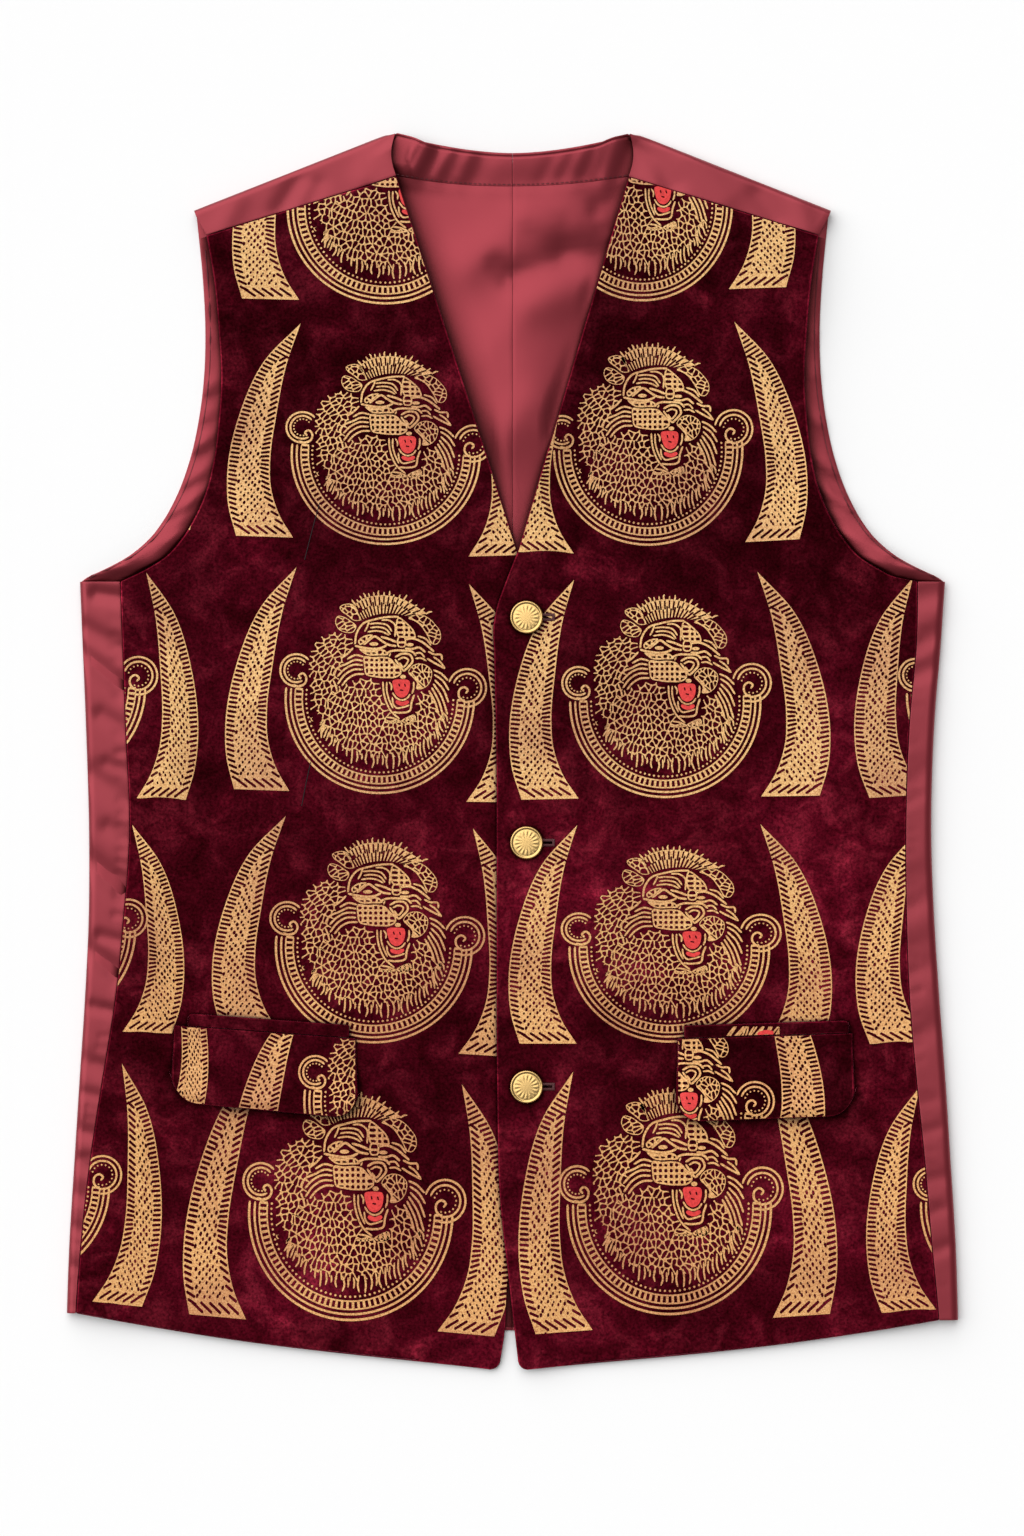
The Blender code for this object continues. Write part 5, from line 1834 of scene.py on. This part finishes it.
# The flutes stand in a ring on the first places of the face, between two shares of the radius.
FLUTED_PLACES = 12
FLUTE_COUNT = 16
FLUTE_HEIGHT = 0.09
FLUTES_FROM = 0.4
FLUTES_RISE = 0.12
FLUTES_TO = 0.76
FLUTES_FALL = 0.1
# The corners of each ring of a button. Those that fall together, on its axis, are merged.
BUTTON_STEPS = 96
BUTTON_MERGE = 0.001


def button_profile():
    """The turned outline of a button, from the middle of its face down to the end of its shank."""
    radius = BUTTON_DIAMETER / 2
    points = [(share * radius, BUTTON_RISE + drop) for share, drop in BUTTON_FACE]
    return points + [(SHANK_RADIUS, 0), (SHANK_RADIUS, -OVERLAP_RISE), (0, -OVERLAP_RISE)]


def make_button(number, up, material):
    """A button turned from its outline, with a shallow ring of flutes on its face."""
    profile = np.array(button_profile())
    turns = np.arange(BUTTON_STEPS) * 2 * math.pi / BUTTON_STEPS
    radius = profile[:, 0][:, None]
    share = radius / (BUTTON_DIAMETER / 2)
    ring = soft_step((share - FLUTES_FROM) / FLUTES_RISE) * soft_step((FLUTES_TO - share) / FLUTES_FALL)
    on_face = (np.arange(len(profile)) < FLUTED_PLACES)[:, None]
    flutes = FLUTE_HEIGHT * np.cos(FLUTE_COUNT * turns)[None, :] * ring * on_face
    base = float(front_top(LEFT, np.array(CENTRE_FRONT), np.array(up))) + GAP
    x = CENTRE_FRONT + radius * np.cos(turns)[None, :]
    y = up + radius * np.sin(turns)[None, :]
    z = base + profile[:, 1][:, None] + flutes
    shape = bmesh.new()
    rings = [[shape.verts.new(place) for place in row] for row in grid_of(x, y, z) * MM]
    for high, low in zip(rings, rings[1:]):
        for k in range(BUTTON_STEPS):
            after = (k + 1) % BUTTON_STEPS
            shape.faces.new([high[k], low[k], low[after], high[after]])
    bmesh.ops.remove_doubles(shape, verts=shape.verts, dist=BUTTON_MERGE * MM)
    bmesh.ops.recalc_face_normals(shape, faces=shape.faces)
    name = f"button_{number}_metal"
    return add_piece(name, mesh_of(name, shape), material, f"button_{number}")


# Materials, with colours as linear red, green and blue.
SATIN_COLOUR = (0.258, 0.0270, 0.0385)
# Painted shade: the lining is painted darker and redder in its creases and where the fronts stand over it, by
# openness, as shares of its colour.
CREASE_SHADE = [
    (0.50, (0.12, 0.03, 0.035)),
    (0.66, (0.29, 0.20, 0.20)),
    (0.80, (0.66, 0.72, 0.68)),
    (0.94, (1.06, 1.32, 1.24)),
]
CREASE_REACH = 0.020
CREASE_SAMPLES = 8
# The velvet and the print get painted shade too, close beside a flap, a button or the overlap.
PILE_SHADE = [(0.55, (0.10, 0.08, 0.08)), (0.80, (0.55, 0.52, 0.52)), (0.96, (1.0, 1.0, 1.0))]
PILE_REACH = 0.008
VELVET_STOPS = [
    (0.30, (0.024, 0.0007, 0.0023)),
    (0.5, (0.046, 0.0015, 0.0050)),
    (0.74, (0.110, 0.0065, 0.014)),
]
VELVET_GRAIN = [(0.3, (0.4, 0.4, 0.4)), (0.7, (1.6, 1.6, 1.6))]
VELVET_SHEEN_TINT = (0.8, 0.14, 0.22, 1)
# The velvet is darker at the shoulders and lighter towards the hem: heights in metres and shares.
TONE_LOW = -0.36
TONE_HIGH = 0.34
VELVET_BY_HEIGHT = [
    (TONE_LOW, 1.4), (-0.27, 1.3), (-0.16, 1.18), (-0.09, 1.5), (0.0, 1.05), (0.12, 0.84), (TONE_HIGH, 0.76),
]
FLAP_TONES = {"left": [(TONE_LOW, 0.6), (0.0, 0.6)], "right": [(TONE_LOW, 1.0), (0.0, 1.0)]}
# Along the cut edges the velvet is a lighter copy of itself: a painted highlight.
EDGE_HIGHLIGHT = [(TONE_LOW, 3.0), (TONE_HIGH, 2.6)]
FLAP_EDGE_HIGHLIGHT = [(TONE_LOW, 1.7), (0.0, 1.7)]
# Painted sheen: broad patches, and crushed patches where the pile lies over.
BROAD_SHINE = [(0.36, (0.72, 0.72, 0.72)), (0.5, (1.0, 1.0, 1.0)), (0.66, (1.5, 1.6, 1.6))]
CRUSHED_SHEEN = [(0.44, (0.85, 0.85, 0.85)), (0.58, (1.1, 1.1, 1.1)), (0.74, (2.3, 2.3, 2.3))]
GOLD_STOPS = [(0.30, (0.35, 0.13, 0.045)), (0.5, (0.79, 0.44, 0.155)), (0.70, (0.97, 0.68, 0.31))]
# Where the gold is worn it is duller and redder.
GOLD_WEAR = [(0.36, (0.72, 0.60, 0.66)), (0.56, (1.0, 1.0, 1.0))]
# The gold is more orange towards the hem, by shares of the height.
GOLD_BY_HEIGHT = [(0.0, (0.96, 0.84, 0.77)), (0.3, (0.97, 0.88, 0.82)), (0.5, (1.0, 1.0, 1.0))]
RED_COLOUR = (0.72, 0.040, 0.026)
RED_GRAIN = [(0.3, (0.52, 0.012, 0.012)), (0.65, (0.82, 0.036, 0.032))]
THREAD_COLOUR = (0.11, 0.010, 0.016)
SEAM_COLOUR = (0.012, 0.002, 0.004)
HOLE_THREAD_COLOUR = (0.075, 0.012, 0.014)
BRASS_COLOUR = (0.64, 0.42, 0.16)
FLOOR_COLOUR = (0.93, 0.93, 0.93)


class Look:
    """A material with its shader, and short ways to add texture nodes to it."""

    def __init__(self, name, colour, roughness, metallic=0.0):
        self.material = bpy.data.materials.new(name)
        self.material.use_nodes = True
        self.material.diffuse_color = (*colour, 1)
        self.nodes = self.material.node_tree.nodes
        self.links = self.material.node_tree.links
        self.shader = self.nodes["Principled BSDF"]
        self.set("Base Color", (*colour, 1))
        self.set("Roughness", roughness)
        self.set("Metallic", metallic)
        self.places = self.nodes.new("ShaderNodeTexCoord").outputs["Object"]

    def set(self, name, value):
        self.shader.inputs[name].default_value = value

    def node(self, kind, inputs, **settings):
        """A new node, with a value or the output of another node for each of the named inputs."""
        node = self.nodes.new(f"ShaderNode{kind}")
        for name, value in settings.items():
            setattr(node, name, value)
        for name, value in inputs.items():
            if isinstance(value, bpy.types.NodeSocket):
                self.links.new(value, node.inputs[name])
            else:
                node.inputs[name].default_value = value
        return node

    def noise(self, scale, detail=2.0, roughness=0.5, distortion=0.0):
        shape = {"Scale": scale, "Detail": detail, "Roughness": roughness, "Distortion": distortion}
        return self.node("TexNoise", {"Vector": self.places, **shape}).outputs["Fac"]

    def openness(self, distance):
        """How open a place is to the light: 1 on a flat, less in a crease or beside a taller edge."""
        return self.node("AmbientOcclusion", {"Distance": distance}, samples=CREASE_SAMPLES).outputs["AO"]

    def height_share(self, low, high):
        """How far up the garment a place is, from 0 at low to 1 at high."""
        height = self.node("SeparateXYZ", {"Vector": self.places}).outputs["Y"]
        return self.node("MapRange", {"Value": height, "From Min": low, "From Max": high}).outputs["Result"]

    def ramp(self, fac, stops):
        node = self.node("ValToRGB", {"Fac": fac})
        elements = node.color_ramp.elements
        while len(elements) < len(stops):
            elements.new(0.5)
        for element, (position, colour) in zip(elements, stops):
            element.position = position
            element.color = (*colour, 1)
        return node.outputs["Color"]

    def multiply(self, first, *others):
        """The product of some colours."""
        for other in others:
            inputs = {"Factor": 1.0, "A": first, "B": other}
            first = self.node("Mix", inputs, data_type="RGBA", blend_type="MULTIPLY").outputs["Result"]
        return first

    def bump(self, fac, strength, distance):
        node = self.node("Bump", {"Height": fac, "Strength": strength, "Distance": distance})
        self.links.new(node.outputs["Normal"], self.shader.inputs["Normal"])

    def colour(self, socket):
        self.links.new(socket, self.shader.inputs["Base Color"])


def satin_look(name, crease_shade=None):
    look = Look(name, SATIN_COLOUR, roughness=0.40, metallic=0.62)
    # Painted shade: the lining's colour darkens by its openness, in its creases and beside the fronts.
    if crease_shade:
        stops = [(share, np.multiply(SATIN_COLOUR, shades)) for share, shades in crease_shade]
        look.colour(look.ramp(look.openness(CREASE_REACH), stops))
        look.set("Specular IOR Level", 0.2)
    look.bump(look.noise(2200, detail=1.0), strength=0.04, distance=0.0002)
    return look.material


def velvet_look(name, shares_by_height):
    """Velvet: blotches where the pile lies over, a fine grain, a tone that changes with height, painted sheen
    in patches, painted shade beside taller edges, and a sheen at the edges.
    """
    look = Look(name, VELVET_STOPS[1][1], roughness=0.9)
    blotches = look.ramp(look.noise(48, detail=5.0, roughness=0.62, distortion=0.7), VELVET_STOPS)
    grain = look.ramp(look.noise(620, detail=3.0, roughness=0.65), VELVET_GRAIN)
    low, high = shares_by_height[0][0], shares_by_height[-1][0]
    stops = [((height - low) / (high - low), (share, share, share)) for height, share in shares_by_height]
    tone = look.ramp(look.height_share(low, high), stops)
    # Painted sheen in crushed patches and in broad ones.
    crushed_sheen = look.ramp(look.noise(30, detail=7.0, roughness=0.72, distortion=0.5), CRUSHED_SHEEN)
    shine = look.ramp(look.noise(9, detail=3.0, distortion=0.6), BROAD_SHINE)
    # Painted shade beside a flap, a button or the overlap.
    shade = look.ramp(look.openness(PILE_REACH), PILE_SHADE)
    look.colour(look.multiply(blotches, grain, tone, look.multiply(crushed_sheen, shine), shade))
    look.set("Specular IOR Level", 0.0)
    look.set("Sheen Weight", 0.8)
    look.set("Sheen Roughness", 0.25)
    look.set("Sheen Tint", VELVET_SHEEN_TINT)
    look.bump(look.noise(1500), strength=0.25, distance=0.0003)
    return look.material


def gold_look():
    look = Look("gold_print", GOLD_STOPS[1][1], roughness=0.55, metallic=0.15)
    half = LENGTH / 2 * MM
    grain = look.ramp(look.noise(1100, detail=3.0, roughness=0.65), GOLD_STOPS)
    wear = look.ramp(look.noise(11), GOLD_WEAR)
    by_height = look.ramp(look.height_share(-half, half), GOLD_BY_HEIGHT)
    # Painted shade on the print beside a flap, a button or the overlap.
    shade = look.ramp(look.openness(PILE_REACH), PILE_SHADE)
    look.colour(look.multiply(grain, wear, by_height, shade))
    look.bump(look.noise(1600), strength=0.3, distance=0.0002)
    return look.material


def red_look():
    look = Look("red_print", RED_COLOUR, roughness=0.6)
    look.colour(look.ramp(look.noise(900, detail=3.0), RED_GRAIN))
    return look.material


def brass_look():
    look = Look("brass", BRASS_COLOUR, roughness=0.33, metallic=1.0)
    look.bump(look.noise(900), strength=0.08, distance=0.0002)
    return look.material


# The least width or length that a sheet may state, in metres; a welt is just narrower.
LEAST_FLAT = 0.0101


def declare_sheet(grids):
    """Works out the flat cut of a piece, the size and area of the grids that it is made from, and returns
    nothing.
    """
    area = sum(grid_area(grid) for grid in grids)
    places = np.concatenate([grid[..., :2].reshape(-1, 2) for grid in grids])
    width, length = np.maximum(np.ptp(places, axis=0) * MM, LEAST_FLAT)
    width = max(width, area / length)


def make_back(side, cloth):
    word = WORDS[side]
    columns = neck_and_shoulder_columns(BACK_NECK_CORNER[0], BACK_ARM_TOP[0])
    main_grid = back_grid(
        SIDE_HEMS[side], BACK_ARM_TOP[1], BACK_HEM, BACK_NECK,
        partial(back_outer, side), back_neck, columns, neck_lift,
    )
    grids = [main_grid, side_strip_grid(side), shoulder_strip_grid(side, columns)]
    back = cloth_piece(f"back_{word}_satin", f"back_{word}", grids, side, cloth, outer_face=-1)
    declare_sheet(grids)
    return back


def make_lining(side, cloth):
    """The back lining and the neck facing above it."""
    word = WORDS[side]
    top_up = SEAM_AT_ARM[1] - GAP
    columns = neck_and_shoulder_columns(SEAM_AT_NECK[0], float(lining_outer(side, np.array(top_up))))
    grid = back_grid(
        SIDE_HEMS[side] + LINING_HEM_RISE, top_up,
        BACK_HEM + LINING_HEM_RISE, FACING_SEAM_CENTRE - SEAM_SHUT,
        partial(lining_outer, side), lining_top_edge, columns, partial(lining_height, side),
    )
    lining = cloth_piece(f"lining_{word}_satin", f"lining_{word}", [grid], side, cloth)
    declare_sheet([grid])
    grid = facing_grid(side)
    facing = cloth_piece(f"facing_{word}_satin", f"neck_facing_{word}", [grid], side, cloth)
    declare_sheet([grid])
    return lining


def make_front(side, cloth, drawn, looks):
    panel = f"front_{WORDS[side]}"
    grid = front_grid(side)
    front = cloth_piece(f"{panel}_velvet", panel, [grid], side, cloth)
    prints = make_print(
        panel, partial(inside_front, side), lambda x, y: front_top(side, side * x, y), drawn, looks,
    )
    declare_sheet([grid])
    if side == LEFT:
        cut_buttonholes(front)
    return front


def make_pocket(word, cloth, drawn, looks):
    """A flap and the welt above it; only the left welt is printed."""
    flap = FLAPS[word]
    side = flap.side
    grid = flap_grid(flap)
    piece = cloth_piece(f"flap_{word}_velvet", f"flap_{word}", [grid], side, cloth)
    prints = make_print(
        f"flap_{word}", partial(inside_flap, flap), lambda x, y: flap_top(flap, side * x, y), drawn, looks,
    )
    declare_sheet([grid])
    grid = welt_grid(flap)
    piece = cloth_piece(f"welt_{word}_velvet", f"welt_{word}", [grid], side, cloth)
    prints = []
    if side == LEFT:
        prints = lay_films(
            f"welt_{word}", *welt_films(),
            partial(inside_welt, flap), lambda x, y: welt_top(flap, side * x, y), looks,
        )
    declare_sheet([grid])


FLOOR_HALF = 3.0
FLOOR_LOW = -0.0001


def make_floor():
    mesh = bpy.data.meshes.new("floor")
    corners = [(x * FLOOR_HALF, y * FLOOR_HALF, FLOOR_LOW) for x, y in ((-1, -1), (1, -1), (1, 1), (-1, 1))]
    mesh.from_pydata(corners, [], [(0, 1, 2, 3)])
    floor = put("floor", mesh)
    look = Look("floor", FLOOR_COLOUR, roughness=0.95)
    look.set("Specular IOR Level", 0.0)
    mesh.materials.append(look.material)


# Light: a broad soft sun from the upper left, and an even sky.
SUN_STRENGTH = 3.92
SUN_SPREAD = math.radians(96)
SUN_TILT = math.radians(46)
SUN_TURN = math.radians(40)
SKY_STRENGTH = 0.20


def make_light():
    lamp = bpy.data.lights.new("sun", "SUN")
    lamp.energy = SUN_STRENGTH
    lamp.angle = SUN_SPREAD
    put("sun", lamp).rotation_euler = (-SUN_TILT, 0, SUN_TURN)
    world = bpy.data.worlds.new("sky")
    world.use_nodes = True
    sky = world.node_tree.nodes["Background"]
    sky.inputs["Color"].default_value = (1, 1, 1, 1)
    sky.inputs["Strength"].default_value = SKY_STRENGTH
    bpy.context.scene.world = world


CAMERA_HEIGHT = 3.2
SENSOR = 36.0


def make_camera():
    """A camera straight above, whose frame is the photograph's."""
    lens = bpy.data.cameras.new("camera")
    lens.sensor_fit = "VERTICAL"
    lens.sensor_height = SENSOR
    lens.lens = SENSOR * CAMERA_HEIGHT / (PHOTO_HEIGHT * MM_PER_PIXEL * MM)
    x, y = from_photo(PHOTO_WIDTH / 2, PHOTO_HEIGHT / 2)
    camera = put("camera", lens)
    camera.location = (x * MM, y * MM, CAMERA_HEIGHT)
    bpy.context.scene.camera = camera
    bpy.context.scene.view_settings.view_transform = "Standard"


def main():
    satin = Cloth("satin", SATIN_WALL, SATIN_ROUNDING, [satin_look("satin")])
    lining_satin = Cloth("lining", LINING_WALL, SATIN_ROUNDING, [satin_look("lining_satin", CREASE_SHADE)])
    # The edges of the velvet and of the flaps are lighter copies of it: a painted highlight.
    edge = velvet_look("velvet_edge_highlight", EDGE_HIGHLIGHT)
    flap_edge = velvet_look("flap_edge", FLAP_EDGE_HIGHLIGHT)
    velvet = Cloth("velvet", VELVET_WALL, VELVET_ROUNDING, [velvet_look("velvet", VELVET_BY_HEIGHT), edge])
    flap_velvets = {}
    for word, tone in FLAP_TONES.items():
        materials = [velvet_look(f"flap_{word}_velvet", tone), flap_edge]
        flap_velvets[word] = Cloth("velvet", FLAP_WALL, VELVET_ROUNDING, materials)
    looks = (gold_look(), red_look())
    drawn = (tusk_film(), crescent_film(), *lion_films())
    for word, side in SIDES.items():
        back = make_back(side, satin)
        lining = make_lining(side, lining_satin)
        front = make_front(side, velvet, drawn, looks)
        make_pocket(word, flap_velvets[word], drawn, looks)
    thread = Look("thread", THREAD_COLOUR, roughness=0.6).material
    neck_stitches(thread)
    armhole_stitches(thread)
    front_seams(Look("seam_thread", SEAM_COLOUR, roughness=0.8).material)
    hole_thread = Look("hole_thread", HOLE_THREAD_COLOUR, roughness=0.6).material
    brass = brass_look()
    for number, up in enumerate(BUTTON_UPS, 1):
        buttonhole_stitches(number, up, hole_thread)
        make_button(number, up, brass)
    make_floor()
    make_light()
    make_camera()


main()
